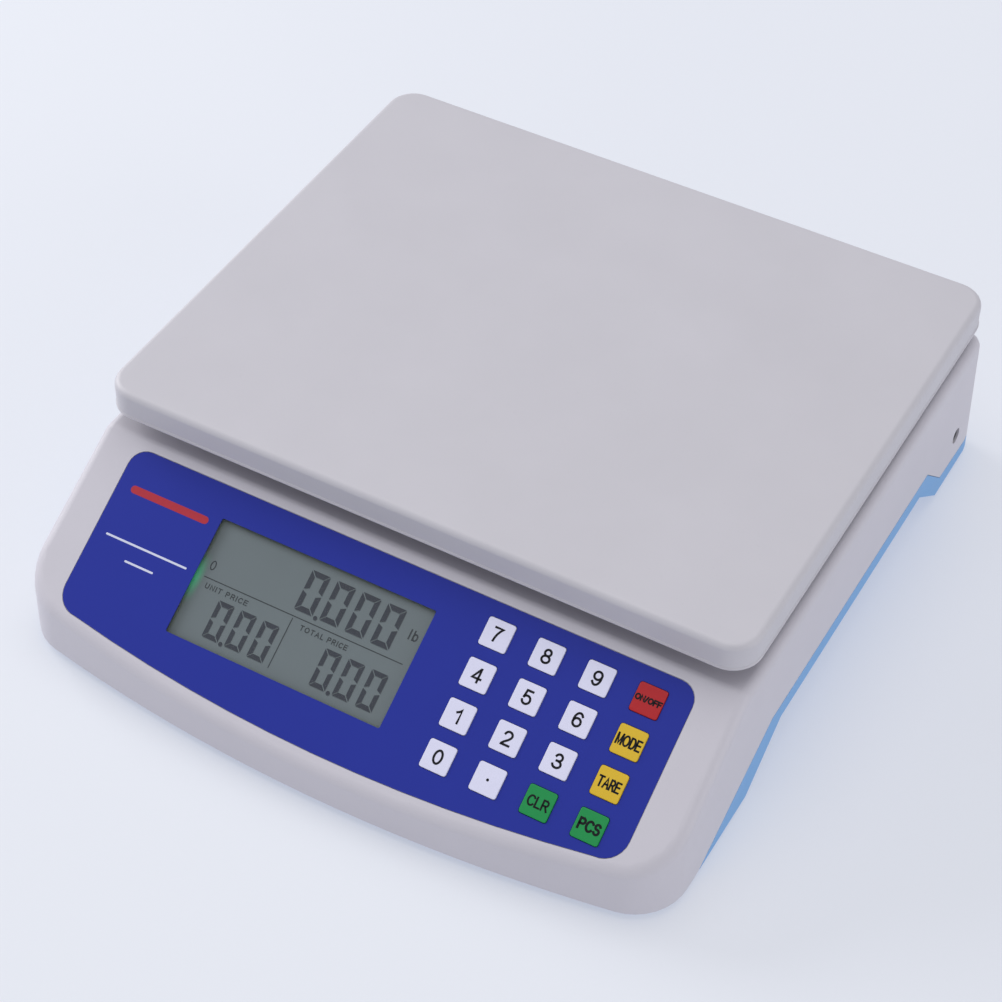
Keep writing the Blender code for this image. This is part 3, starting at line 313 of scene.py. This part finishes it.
material, tree, place = start_finish("green solder mask")
across, down, out = panel_place(tree, place)
flat = Wire.node(tree, "ShaderNodeCombineXYZ", inputs={"X": across, "Y": down})
cells = Wire.node(
    tree, "ShaderNodeTexVoronoi", {"feature": "DISTANCE_TO_EDGE", "distance": "CHEBYCHEV"},
    {"Vector": flat, "Scale": 330.0, "Randomness": 0.75},
)
tracks = stretched(tree, cells, 0.02, 0.05, 1.0, 0.0)
chips = out < -0.01125
mask = mixed(tree, noise(tree, place, 0.02), (0.010, 0.140, 0.050), (0.016, 0.180, 0.065))
mask = mixed(tree, tracks, mask, (0.040, 0.300, 0.110))
end_finish(
    tree, tracks, 0.00003, Base_Color=mixed(tree, chips, mask, (0.020, 0.020, 0.022)),
    Roughness=stretched(tree, chips, 0.0, 1.0, 0.26, 0.55), Coat_Weight=0.3,
)
dress(material, "main_board")

# ---- switch mat --------------------------------------------------------------------------
# One sheet of grey silicone rubber over the board, with a raised dome under each key.
material, tree, place = start_finish("grey silicone")
tone = mixed(tree, noise(tree, place, 0.009, 3.0), (0.40, 0.40, 0.42), (0.52, 0.52, 0.54))
end_finish(
    tree, noise(tree, place, 0.0008, 3.0, 0.7), 0.00002, Base_Color=tone,
    Roughness=noise(tree, place, 0.003) * 0.15 + 0.55, Subsurface_Weight=0.2,
)
dress(material, "switch_mat")

# ---- light guide and display glass -------------------------------------------------------
# A white acrylic guide lights the back of the display. The glass in front of it is a grey
# reflective cell with a darker olive rim, painted shadow along its left and top edges, and a
# painted green glow, in its colour and as emission, where light leaks in from the left.
material, tree, place = start_finish("light guide")
dots = Wire.node(tree, "ShaderNodeTexVoronoi", {"feature": "F1"}, {"Vector": place, "Scale": 900.0})
tone = mixed(tree, stretched(tree, dots, 0.2, 0.5), (0.86, 0.90, 0.86), (0.66, 0.74, 0.68))
end_finish(tree, dots, 0.00004, Base_Color=tone, Roughness=noise(tree, place, 0.01) * 0.1 + 0.32)
dress(material, "display_backlight")

WINDOW_LEFT, WINDOW_RIGHT, WINDOW_TOP, WINDOW_FOOT = -0.0820, 0.0211, 0.0134, 0.0656
SHADE_LEFT, SHADE_TOP, EDGE_WIDTH = 0.0070, 0.0035, 0.0014
LEAK_DOWN, LEAK_WIDTH, LEAK_REACH = 0.0400, 0.0042, 0.0125
material, tree, place = start_finish("display cell")
across, down, _ = panel_place(tree, place)
left, right = across - WINDOW_LEFT, WINDOW_RIGHT - across
above, below = down - WINDOW_TOP, WINDOW_FOOT - down
rim = left
for side in (right, above, below):
    rim = rim.math("MINIMUM", rim, side)
# Painted shadow along the window's left and top edges, mixed into the glass colour.
left_shade = stretched(tree, left, 0.0, SHADE_LEFT, 1.0, 0.0)
top_shade = stretched(tree, above, 0.0, SHADE_TOP, 1.0, 0.0)
shadow = left_shade * 0.30 + top_shade * 0.22
edge = stretched(tree, rim, 0.0, EDGE_WIDTH, 1.0, 0.0)
# A painted green glow where light leaks in from the left: a tint in the colour and an emission.
from_lamp = Wire.node(tree, "ShaderNodeMath", {"operation": "ABSOLUTE"}, {0: down - LEAK_DOWN})
leak = stretched(tree, from_lamp, 0.0, LEAK_REACH, 1.0, 0.0)
leak = stretched(tree, left, 0.0, LEAK_WIDTH, 1.0, 0.0) * leak
grain = noise(tree, place, 0.0003, 2.0, 0.6)
tone = mixed(tree, noise(tree, place, 0.030, 2.0), (0.142, 0.174, 0.186), (0.156, 0.189, 0.201))
tone = mixed(tree, grain * 0.20, tone, (0.105, 0.131, 0.140))
tone = mixed(tree, shadow, tone, (0.045, 0.060, 0.050))
tone = mixed(tree, edge * 0.55, tone, (0.120, 0.150, 0.095))
tone = mixed(tree, leak * 0.80, tone, (0.045, 0.400, 0.190))
glow = mixed(tree, leak, (0, 0, 0), (0.03, 0.60, 0.25))
end_finish(
    tree, grain, 0.000004, Base_Color=tone, Roughness=grain * 0.1 + 0.30,
    Emission_Color=glow, Emission_Strength=0.12,
)
dress(material, "display_glass")

# ---- display characters ------------------------------------------------------------------
# The liquid-crystal pattern inside the cell: seven-bar zeros with points, the rules between
# the three fields and their small captions. Lit bars look dark slate, each with a painted soft
# shadow beside it.
GLASS_OUT = max((v.co - PANEL_TOP).dot(OUT) for v in nodes["display_glass"].data.vertices)


def on_panel(u, s, n=0.0):
    return PANEL_TOP + Vector((u, 0, 0)) + DOWN * s + OUT * n


def flat_piece(name, outlines, lift, body, material):
    """Flat pieces, one face for each outline of (across, down) points, standing lift out of the panel."""
    bm = bmesh.new()
    for outline in outlines:
        ring = [bm.verts.new(on_panel(u, s, lift)) for u, s in outline]
        face = bm.faces.new(ring)
        face.normal_update()
        if face.normal.dot(OUT) < 0:
            face.normal_flip()
    mesh = bpy.data.meshes.new(name)
    bm.to_mesh(mesh)
    bm.free()
    piece = bpy.data.objects.new(name, mesh)
    bpy.context.scene.collection.objects.link(piece)
    mesh.materials.append(material)
    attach(piece, body)
    return piece


def zero(u, s, width, height, bar, gap):
    """The six lit bars of a zero whose top left corner is at (u, s), cut at 45 degrees."""
    w, h, t, g = width, height, bar, gap
    half = h / 2
    shapes = [
        [(g, 0), (w - g, 0), (w - t - g, t), (t + g, t)],
        [(0, g), (t, t + g), (t, half - t * 0.45 - g), (0, half - g * 0.9)],
    ]
    shapes.append([(w - x, y) for x, y in shapes[1]])
    shapes += [[(x, h - y) for x, y in shape] for shape in shapes]
    return [[(u + x, s + y) for x, y in shape] for shape in shapes]


def dot(u, s, radius):
    turns = [2 * math.pi * k / 14 for k in range(14)]
    return [(u + radius * math.cos(a), s + radius * math.sin(a)) for a in turns]


def strip(u0, s0, u1, s1):
    return [(u0, s0), (u1, s0), (u1, s1), (u0, s1)]


BIG_ZERO = {"width": 0.00880, "height": 0.01770, "bar": 0.00228, "gap": 0.00030}
SMALL_ZERO = {"width": 0.00775, "height": 0.01640, "bar": 0.00205, "gap": 0.00027}
BIG_PITCH, SMALL_PITCH = 0.01210, 0.01098
BIG_TOP, SMALL_TOP = 0.01780, 0.04480
WEIGHT_LEFT, UNIT_LEFT, TOTAL_LEFT = -0.03600, -0.06740, -0.01540
POINTS, POINT = [(-0.02560, 0.03560), (-0.05810, 0.06110), (-0.00610, 0.06110)], 0.00095
BARS = []
for k in range(4):
    BARS += zero(WEIGHT_LEFT + BIG_PITCH * k, BIG_TOP, **BIG_ZERO)
for k in range(3):
    BARS += zero(UNIT_LEFT + SMALL_PITCH * k, SMALL_TOP, **SMALL_ZERO)
    BARS += zero(TOTAL_LEFT + SMALL_PITCH * k, SMALL_TOP, **SMALL_ZERO)
BARS += [dot(u, s, POINT) for u, s in POINTS]
RULES = [strip(-0.07860, 0.03810, 0.01730, 0.03855), strip(-0.03470, 0.03920, -0.03425, 0.06190)]
# Painted shadows: see-through dark copies of the bars, set a little to the right and down the slope.
SHADOWS = [[(u + 0.00022, s + 0.00030) for u, s in bar] for bar in BARS]
SHADOW_LIFT, MARK_LIFT = GLASS_OUT + 0.00001, GLASS_OUT + 0.00004


def ink(name, first, second, mottle, sheen, grain=0.0003, **sockets):
    """A thin layer of one colour: mottle is its cloud, sheen the size, spread and base of its gloss."""
    material, tree, place = start_finish(name)
    size, spread, base = sheen
    end_finish(
        tree, noise(tree, place, grain), 0.000004, Roughness=noise(tree, place, size) * spread + base,
        Base_Color=mixed(tree, noise(tree, place, *mottle), first, second), **sockets,
    )
    return material


LCD_MOTTLE, LCD_SHEEN = (0.0011, 2.0), (0.002, 0.1, 0.30)
SLATE = ink("liquid crystal dark", (0.012, 0.014, 0.028), (0.020, 0.024, 0.040), LCD_MOTTLE, LCD_SHEEN)
THIN_SLATE = ink("liquid crystal thin", (0.012, 0.016, 0.022), (0.020, 0.024, 0.030), LCD_MOTTLE, LCD_SHEEN)
material, tree, place = start_finish("liquid crystal shadow")
tone = mixed(tree, noise(tree, place, *LCD_MOTTLE), (0.060, 0.070, 0.074), (0.075, 0.086, 0.090))
end_finish(tree, Base_Color=tone, Roughness=0.5, Alpha=noise(tree, place, 0.002) * 0.1 + 0.24)
flat_piece("display_shadows", SHADOWS, SHADOW_LIFT, "casing", material)
flat_piece("display_bars", BARS, MARK_LIFT, "casing", SLATE)
flat_piece("display_rules", RULES, MARK_LIFT, "casing", THIN_SLATE)


def arc(x, y, wide, tall, start, stop):
    """Points along an ellipse round (x, y), from one angle in degrees to another."""
    count = max(3, round(abs(stop - start) / 12))
    turns = [math.radians(start + (stop - start) * k / count) for k in range(count + 1)]
    return [(x + wide * math.cos(a), y + tall * math.sin(a)) for a in turns]


# The middle line of each stroke, on a field one unit high.
STROKES = {
    "0": [arc(0.25, 0.5, 0.25, 0.5, 0, 360)],
    "1": [[(0, 0.75), (0.11, 0.82), (0.20, 0.92), (0.24, 1.0), (0.24, 0)]],
    "2": [arc(0.24, 0.73, 0.225, 0.27, 168, -32)
          + [(0.33, 0.42), (0.11, 0.19), (0, 0.02), (0, 0), (0.48, 0)]],
    "3": [arc(0.24, 0.755, 0.205, 0.245, 162, -90) + [(0.16, 0.51)],
          arc(0.24, 0.255, 0.25, 0.255, 90, -162)],
    "4": [[(0.37, 0), (0.37, 1)], [(0.34, 0.98), (0, 0.27), (0.52, 0.27)]],
    "5": [[(0.46, 1), (0.10, 1), (0.045, 0.49)], arc(0.245, 0.31, 0.25, 0.31, 140, -162)],
    "6": [arc(0.255, 0.30, 0.245, 0.30, 0, 360), arc(0.27, 0.5, 0.262, 0.5, 40, 195)],
    "7": [[(0, 1), (0.49, 1), (0.36, 0.81), (0.25, 0.55), (0.18, 0.27), (0.15, 0)]],
    "8": [arc(0.25, 0.765, 0.20, 0.235, 0, 360), arc(0.25, 0.265, 0.25, 0.265, 0, 360)],
    "A": [[(0, 0), (0.33, 1), (0.66, 0)], [(0.12, 0.35), (0.54, 0.35)]],
    "C": [arc(0.34, 0.5, 0.34, 0.5, 42, 318)],
    "D": [[(0, 1), (0, 0), (0.26, 0)] + arc(0.26, 0.5, 0.33, 0.5, -90, 90) + [(0, 1)]],
    "E": [[(0.52, 1), (0, 1), (0, 0), (0.54, 0)], [(0, 0.53), (0.48, 0.53)]],
    "F": [[(0.50, 1), (0, 1), (0, 0)], [(0, 0.52), (0.42, 0.52)]],
    "I": [[(0, 0), (0, 1)]],
    "L": [[(0, 1), (0, 0), (0.45, 0)]],
    "M": [[(0, 0), (0, 1)], [(0.02, 1), (0.34, 0.04), (0.66, 1)], [(0.68, 1), (0.68, 0)]],
    "N": [[(0, 0), (0, 1), (0.55, 0), (0.55, 1)]],
    "O": [arc(0.37, 0.5, 0.37, 0.5, 0, 360)],
    "P": [[(0, 0), (0, 1), (0.30, 1)] + arc(0.30, 0.74, 0.23, 0.26, 90, -90) + [(0, 0.48)]],
    "R": [[(0, 0), (0, 1), (0.30, 1)] + arc(0.30, 0.74, 0.23, 0.26, 90, -90) + [(0, 0.48)],
          [(0.30, 0.48), (0.56, 0)]],
    "S": [arc(0.27, 0.745, 0.235, 0.255, 26, 235) + arc(0.27, 0.265, 0.255, 0.265, 55, -156)],
    "T": [[(0, 1), (0.58, 1)], [(0.29, 1), (0.29, 0)]],
    "U": [[(0, 1)] + arc(0.27, 0.30, 0.27, 0.30, 180, 360) + [(0.54, 1)]],
    "b": [[(0, 0), (0, 1)], arc(0.22, 0.35, 0.22, 0.35, 0, 360)],
    "l": [[(0, 0), (0, 1)]],
    "/": [[(0, 0), (0.28, 1)]],
    " ": [],
}
STROKES["9"] = [[(0.51 - x, 1 - y) for x, y in stroke] for stroke in STROKES["6"]]


def ribbon(points, half):
    """Four-cornered pieces that follow a line at an even width, squared off at its ends."""
    points = [Vector(p) for p in points]
    steps = [(b - a).normalized() for a, b in zip(points, points[1:])]
    joined = (points[0] - points[-1]).length < half * 0.01
    if not joined:
        points[0], points[-1] = points[0] - steps[0] * half, points[-1] + steps[-1] * half
    before = [steps[-1] if joined else steps[0]] + steps
    after = steps + [steps[0] if joined else steps[-1]]
    sides = []
    for point, into, away in zip(points, before, after):
        square = Vector((-into.y, into.x))
        across = (square + Vector((-away.y, away.x))).normalized()
        reach = half / max(across.dot(square), 0.55)
        sides.append((point + across * reach, point - across * reach))
    return [(a, b, d, c) for (a, b), (c, d) in zip(sides, sides[1:])]


def lettering(name, words, centre, size, stroke, gap, lift, body, material):
    """Printed characters in a field of size (width, height) centred on the panel at centre."""
    lines, pen = [], 0.0
    for sign in words:
        glyph = STROKES[sign]
        lines += [[(pen + x, y) for x, y in line] for line in glyph]
        pen += max([x for line in glyph for x, y in line], default=0.10) + gap
    right = max(x for line in lines for x, y in line)
    wide, tall = (size[0] - stroke) / right, size[1] - stroke
    placed = [[((x - right / 2) * wide, (0.5 - y) * tall) for x, y in line] for line in lines]
    pieces = [piece for line in placed for piece in ribbon(line, stroke / 2)]
    outlines = [[(centre[0] + x, centre[1] + y) for x, y in piece] for piece in pieces]
    return flat_piece(name, outlines, lift, body, material)


CAPTIONS = [
    ("zero_sign", "0", (-0.07690, 0.03280), (0.0026, 0.0043), 0.00055),
    ("unit_price", "UNIT PRICE", (-0.06570, 0.04150), (0.0209, 0.0024), 0.00046),
    ("total_price", "TOTAL PRICE", (-0.01840, 0.04150), (0.0227, 0.0024), 0.00046),
    ("pounds", "lb", (0.01635, 0.02600), (0.0042, 0.0045), 0.00070),
]
CAPTION_GAP = 0.40
for name, words, spot, size, stroke in CAPTIONS:
    lettering(
        "display_" + name, words, spot, size, stroke, CAPTION_GAP, MARK_LIFT,
        "casing", THIN_SLATE,
    )

# ---- display lens ------------------------------------------------------------------------
# A thin clear acrylic sheet under the panel film keeps dust off the glass. It is polished,
# with faint hairline scratches.
material, tree, place = start_finish("clear acrylic")
drawn = Wire.node(tree, "ShaderNodeVectorMath", {"operation": "MULTIPLY"}, {0: place, 1: (0.05, 1.0, 1.0)})
scratch = noise(tree, drawn, 0.0006, 2.0, 0.6)
tone = mixed(tree, noise(tree, place, 0.02), (0.40, 0.44, 0.44), (0.44, 0.48, 0.48))
end_finish(
    tree, scratch, 0.0000015, Base_Color=tone, Roughness=scratch * 0.08 + 0.05,
    Alpha=stretched(tree, scratch, 0.60, 0.80, 0.035, 0.055),
)
dress(material, "display_lens")

# ---- keys --------------------------------------------------------------------------------
# Sixteen square caps that stand just proud of the film, moulded in coloured ABS with a
# satin face, each printed with its black figure or word.


def satin(name, colour):
    """Key-cap plastic: smoother than the casing, with a satin sheen that varies a little from place to place.
    """
    material, tree, place = start_finish(name)
    tone = mixed(tree, noise(tree, place, 0.006, 3.0, 0.6), tuple(c * 0.95 for c in colour), colour)
    end_finish(
        tree, noise(tree, place, 0.0004, 2.0, 0.6), 0.000006, Base_Color=tone, IOR=1.5,
        Specular_IOR_Level=0.30, Roughness=noise(tree, place, 0.003, 2.0) * 0.16 + 0.28,
    )
    return material


KEY_WHITE = satin("white key plastic", (0.785, 0.780, 0.970))
KEY_YELLOW = satin("yellow key plastic", (0.760, 0.500, 0.035))
KEY_RED = satin("red key plastic", (0.475, 0.019, 0.024))
KEY_GREEN = satin("green key plastic", (0.014, 0.290, 0.075))
KEY_INK = ink(
    "black pad print", (0.007, 0.007, 0.009), (0.013, 0.013, 0.016), (0.0009, 3.0, 0.7),
    (0.001, 0.2, 0.35), 0.0002, Specular_IOR_Level=0.15,
)

FIGURE_TALL, FIGURE_WIDE, FIGURE_STROKE = 0.0064, 0.0043, 0.00096
ODD_WIDTHS = {"1": 0.0026, "4": 0.0046}
KEYS = {}
for sign in "0123456789":
    KEYS[sign] = (KEY_WHITE, sign, (ODD_WIDTHS.get(sign, FIGURE_WIDE), FIGURE_TALL), FIGURE_STROKE)
KEYS["power"] = (KEY_RED, "ON/OFF", (0.0116, 0.0027), 0.00068)
KEYS["mode"] = (KEY_YELLOW, "MODE", (0.0108, 0.0048), 0.00080)
KEYS["tare"] = (KEY_YELLOW, "TARE", (0.0099, 0.0047), 0.00080)
KEYS["clear"] = (KEY_GREEN, "CLR", (0.0093, 0.0047), 0.00078)
KEYS["count"] = (KEY_GREEN, "PCS", (0.0097, 0.0050), 0.00100)
KEYS["point"] = (KEY_WHITE, "", (0.0, 0.0), 0.0)
POINT_RADIUS, LEGEND_GAP, INK_LIFT = 0.00062, 0.24, 0.00003
SLOTS = {KEY_WHITE: "key_white", KEY_RED: "key_red", KEY_YELLOW: "key_yellow", KEY_GREEN: "key_green"}
for name, (material, words, size, stroke) in KEYS.items():
    dress(material, f"key_{name}")
    offsets = [v.co - PANEL_TOP for v in nodes[f"key_{name}"].data.vertices]
    face_out = max(c.dot(OUT) for c in offsets)
    face = [c for c in offsets if c.dot(OUT) > face_out - 1e-5]
    u = (max(c.x for c in face) + min(c.x for c in face)) / 2
    s = (max(c.dot(DOWN) for c in face) + min(c.dot(DOWN) for c in face)) / 2
    lift, body, slot = face_out + INK_LIFT, f"key_{name}_body", SLOTS[material]
    if words:
        lettering(f"legend_{name}", words, (u, s), size, stroke, LEGEND_GAP, lift, body, KEY_INK)
    else:
        flat_piece(f"legend_{name}", [dot(u, s, POINT_RADIUS)], lift, body, KEY_INK)

# ---- upper casing ------------------------------------------------------------------------
# The top half of the case, in pale grey ABS, with the sloping panel, the flat top under the
# platter and walls that lean in for the mould. The same matt grain covers every outside face.
pale_grey = (0.620, 0.594, 0.652)
dress(moulded("grey ABS", pale_grey, 0.47), "upper_casing")

# ---- power jack --------------------------------------------------------------------------
# A round socket for the mains adaptor in the right wall: a black nylon barrel with a plated
# centre pin.
low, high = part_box("power_jack")
barrel = (low + high) / 2
material, tree, place = start_finish("jack nylon and pin")
centred = Wire.node(
    tree, "ShaderNodeVectorMath", {"operation": "SUBTRACT"}, {0: place, 1: (0, barrel.y, 0.0250)}
)
flat = Wire.node(tree, "ShaderNodeVectorMath", {"operation": "MULTIPLY"}, {0: centred, 1: (0, 1, 1)})
radius = Wire.node(tree, "ShaderNodeVectorMath", {"operation": "LENGTH"}, {0: flat}, "Value")
depth_in = Wire.node(tree, "ShaderNodeSeparateXYZ", inputs={0: place}, output="X")
pin = (radius < 0.0012) * (depth_in > high.x - 0.0122)
tone = mixed(tree, noise(tree, place, 0.002, 3.0), (0.016, 0.016, 0.018), (0.030, 0.030, 0.033))
end_finish(
    tree, noise(tree, place, 0.0005, 2.0, 0.6), 0.00001,
    Base_Color=mixed(tree, pin, tone, (0.72, 0.70, 0.64)),
    Metallic=pin * 1.0, Roughness=noise(tree, place, 0.001) * 0.12 + 0.34,
)
dress(material, "power_jack")

# ---- panel film --------------------------------------------------------------------------
# A polyester sheet printed deep blue on its back and glued to the slope, cut out for the
# window and the keys. Its face has a soft satin texture.
film_blue = (0.0180, 0.0320, 0.3250)
material, tree, place = start_finish("blue printed film")
dither = noise(tree, place, 0.0004, 2.0, 0.7)
darker, lighter = [tuple(c * share for c in film_blue) for share in (0.96, 1.05)]
tone = mixed(tree, noise(tree, place, 0.04, 3.0), darker, lighter)
tone = mixed(tree, dither * 0.12, tone, (0.020, 0.026, 0.180))
end_finish(
    tree, dither + noise(tree, place, 0.004) * 1.5, 0.000006, Base_Color=tone, IOR=1.5,
    Specular_IOR_Level=0.22, Roughness=dither * 0.14 + 0.34,
)
dress(material, "panel_overlay")

# A red bar and two white rules, plain ornaments, are printed on the film's upper left.


def pill(u0, u1, s, height):
    """A bar with round ends."""
    r = height / 2
    turns = [math.pi * k / 10 for k in range(11)]
    right = [(u1 - r + r * math.sin(a), s - r * math.cos(a)) for a in turns]
    return right + [(u0 + r - r * math.sin(a), s + r * math.cos(a)) for a in turns]


PRINT_MOTTLE, PRINT_SHEEN = (0.0012, 3.0), (0.001, 0.1, 0.36)
RED_PRINT = ink("red print", (0.400, 0.012, 0.028), (0.480, 0.018, 0.036), PRINT_MOTTLE, PRINT_SHEEN)
WHITE_PRINT = ink("white print", (0.620, 0.650, 0.820), (0.720, 0.740, 0.880), PRINT_MOTTLE, PRINT_SHEEN)
RED_BAR = pill(-0.1262, -0.0872, 0.0172, 0.0034)
WHITE_RULES = [pill(-0.1270, -0.0862, 0.0388, 0.0009), pill(-0.1134, -0.0990, 0.0463, 0.0009)]
flat_piece("film_red_bar", [RED_BAR], INK_LIFT, "casing", RED_PRINT)
flat_piece("film_white_rules", WHITE_RULES, INK_LIFT, "casing", WHITE_PRINT)

# ---- spider and pads ---------------------------------------------------------------------
# The cross that carries the platter, cast in aluminium and left as it came from the mould,
# with four black rubber pads pushed into its ends.
dress(metal("cast aluminium", (0.50, 0.51, 0.53), 0.52, None, 0.0011, 0.00004, 0.22), "platform_spider")
material, tree, place = start_finish("black pad rubber")
bloom = stretched(tree, noise(tree, place, 0.004, 4.0, 0.7), 0.45, 0.80) * 0.3
tone = mixed(tree, bloom, (0.018, 0.018, 0.020), (0.075, 0.074, 0.072))
end_finish(
    tree, noise(tree, place, 0.0007, 3.0, 0.7), 0.00003, Base_Color=tone, Roughness=bloom * 0.2 + 0.68
)
dress(material, *[f"platter_pad_{i}" for i in range(1, 5)])

# ---- platter -----------------------------------------------------------------------------
# The weighing tray, a shallow upturned pan of grey ABS with rounded edges and a thin lip round
# its rim. It rests on the four pads and lifts straight off.
tray_grey = (0.580, 0.561, 0.606)
dress(moulded("grey platter ABS", tray_grey, 0.44, 0.00045, 0.000010), "platter")

# ---- floor, light and camera -------------------------------------------------------------
# A pale light table, glowing a little from below, under a soft even surround. Broad lamps to
# the left, overhead and low on the right leave the walls at the front the darkest.
FLOOR_REACH = 10.0
corners = [(-1, -1), (1, -1), (1, 1), (-1, 1)]
mesh = bpy.data.meshes.new("floor")
mesh.from_pydata([(x * FLOOR_REACH, y * FLOOR_REACH, 0) for x, y in corners], [], [(0, 1, 2, 3)])
floor = bpy.data.objects.new("floor", mesh)
bpy.context.scene.collection.objects.link(floor)
material, tree, place = start_finish("pale floor")
tone = mixed(tree, noise(tree, place, 0.5, 3.0), (0.385, 0.395, 0.425), (0.405, 0.415, 0.445))
glow = mixed(tree, noise(tree, place, 0.8), (0.86, 0.89, 1.0), (0.90, 0.93, 1.0))
end_finish(
    tree, noise(tree, place, 0.002), 0.00001, Base_Color=tone,
    Roughness=noise(tree, place, 0.3) * 0.1 + 0.65, Emission_Color=glow, Emission_Strength=0.44,
)
mesh.materials.append(material)

world = bpy.data.worlds.new("soft surround")
bpy.context.scene.world = world
world.use_nodes = True
surround = world.node_tree.nodes["Background"]
surround.inputs["Color"].default_value = (0.93, 0.95, 1.0, 1)
surround.inputs["Strength"].default_value = 0.47


def lamp(name, place, size, watts):
    """A round soft lamp turned towards the scale."""
    light = bpy.data.lights.new(name, "AREA")
    light.shape, light.size, light.energy = "DISK", size, watts
    made = bpy.data.objects.new(name, light)
    made.location = place
    made.rotation_euler = (Vector((0, 0, 0.05)) - Vector(place)).to_track_quat("-Z", "Y").to_euler()
    bpy.context.scene.collection.objects.link(made)


lamp("left", (-2.4, 0.3, 1.2), 1.8, 41)
lamp("overhead", (0, 0.2, 2.4), 2.4, 16.5)
lamp("right", (2.4, 0.3, 1.0), 1.6, 10)
lamp("low front", (0.2, -2.4, 0.5), 1.4, 4)

camera = bpy.data.objects.new("camera", bpy.data.cameras.new("camera"))
bpy.context.scene.collection.objects.link(camera)
camera.data.lens, camera.data.sensor_width = 88.1, 36.0
camera.location = (0.3634, -0.6546, 0.7917)
camera.rotation_euler = [math.radians(a) for a in (44.388, -0.401, 29.708)]
camera.data.clip_start, camera.data.clip_end = 0.01, 30.0
bpy.context.scene.camera = camera
bpy.context.scene.view_settings.view_transform = "Standard"
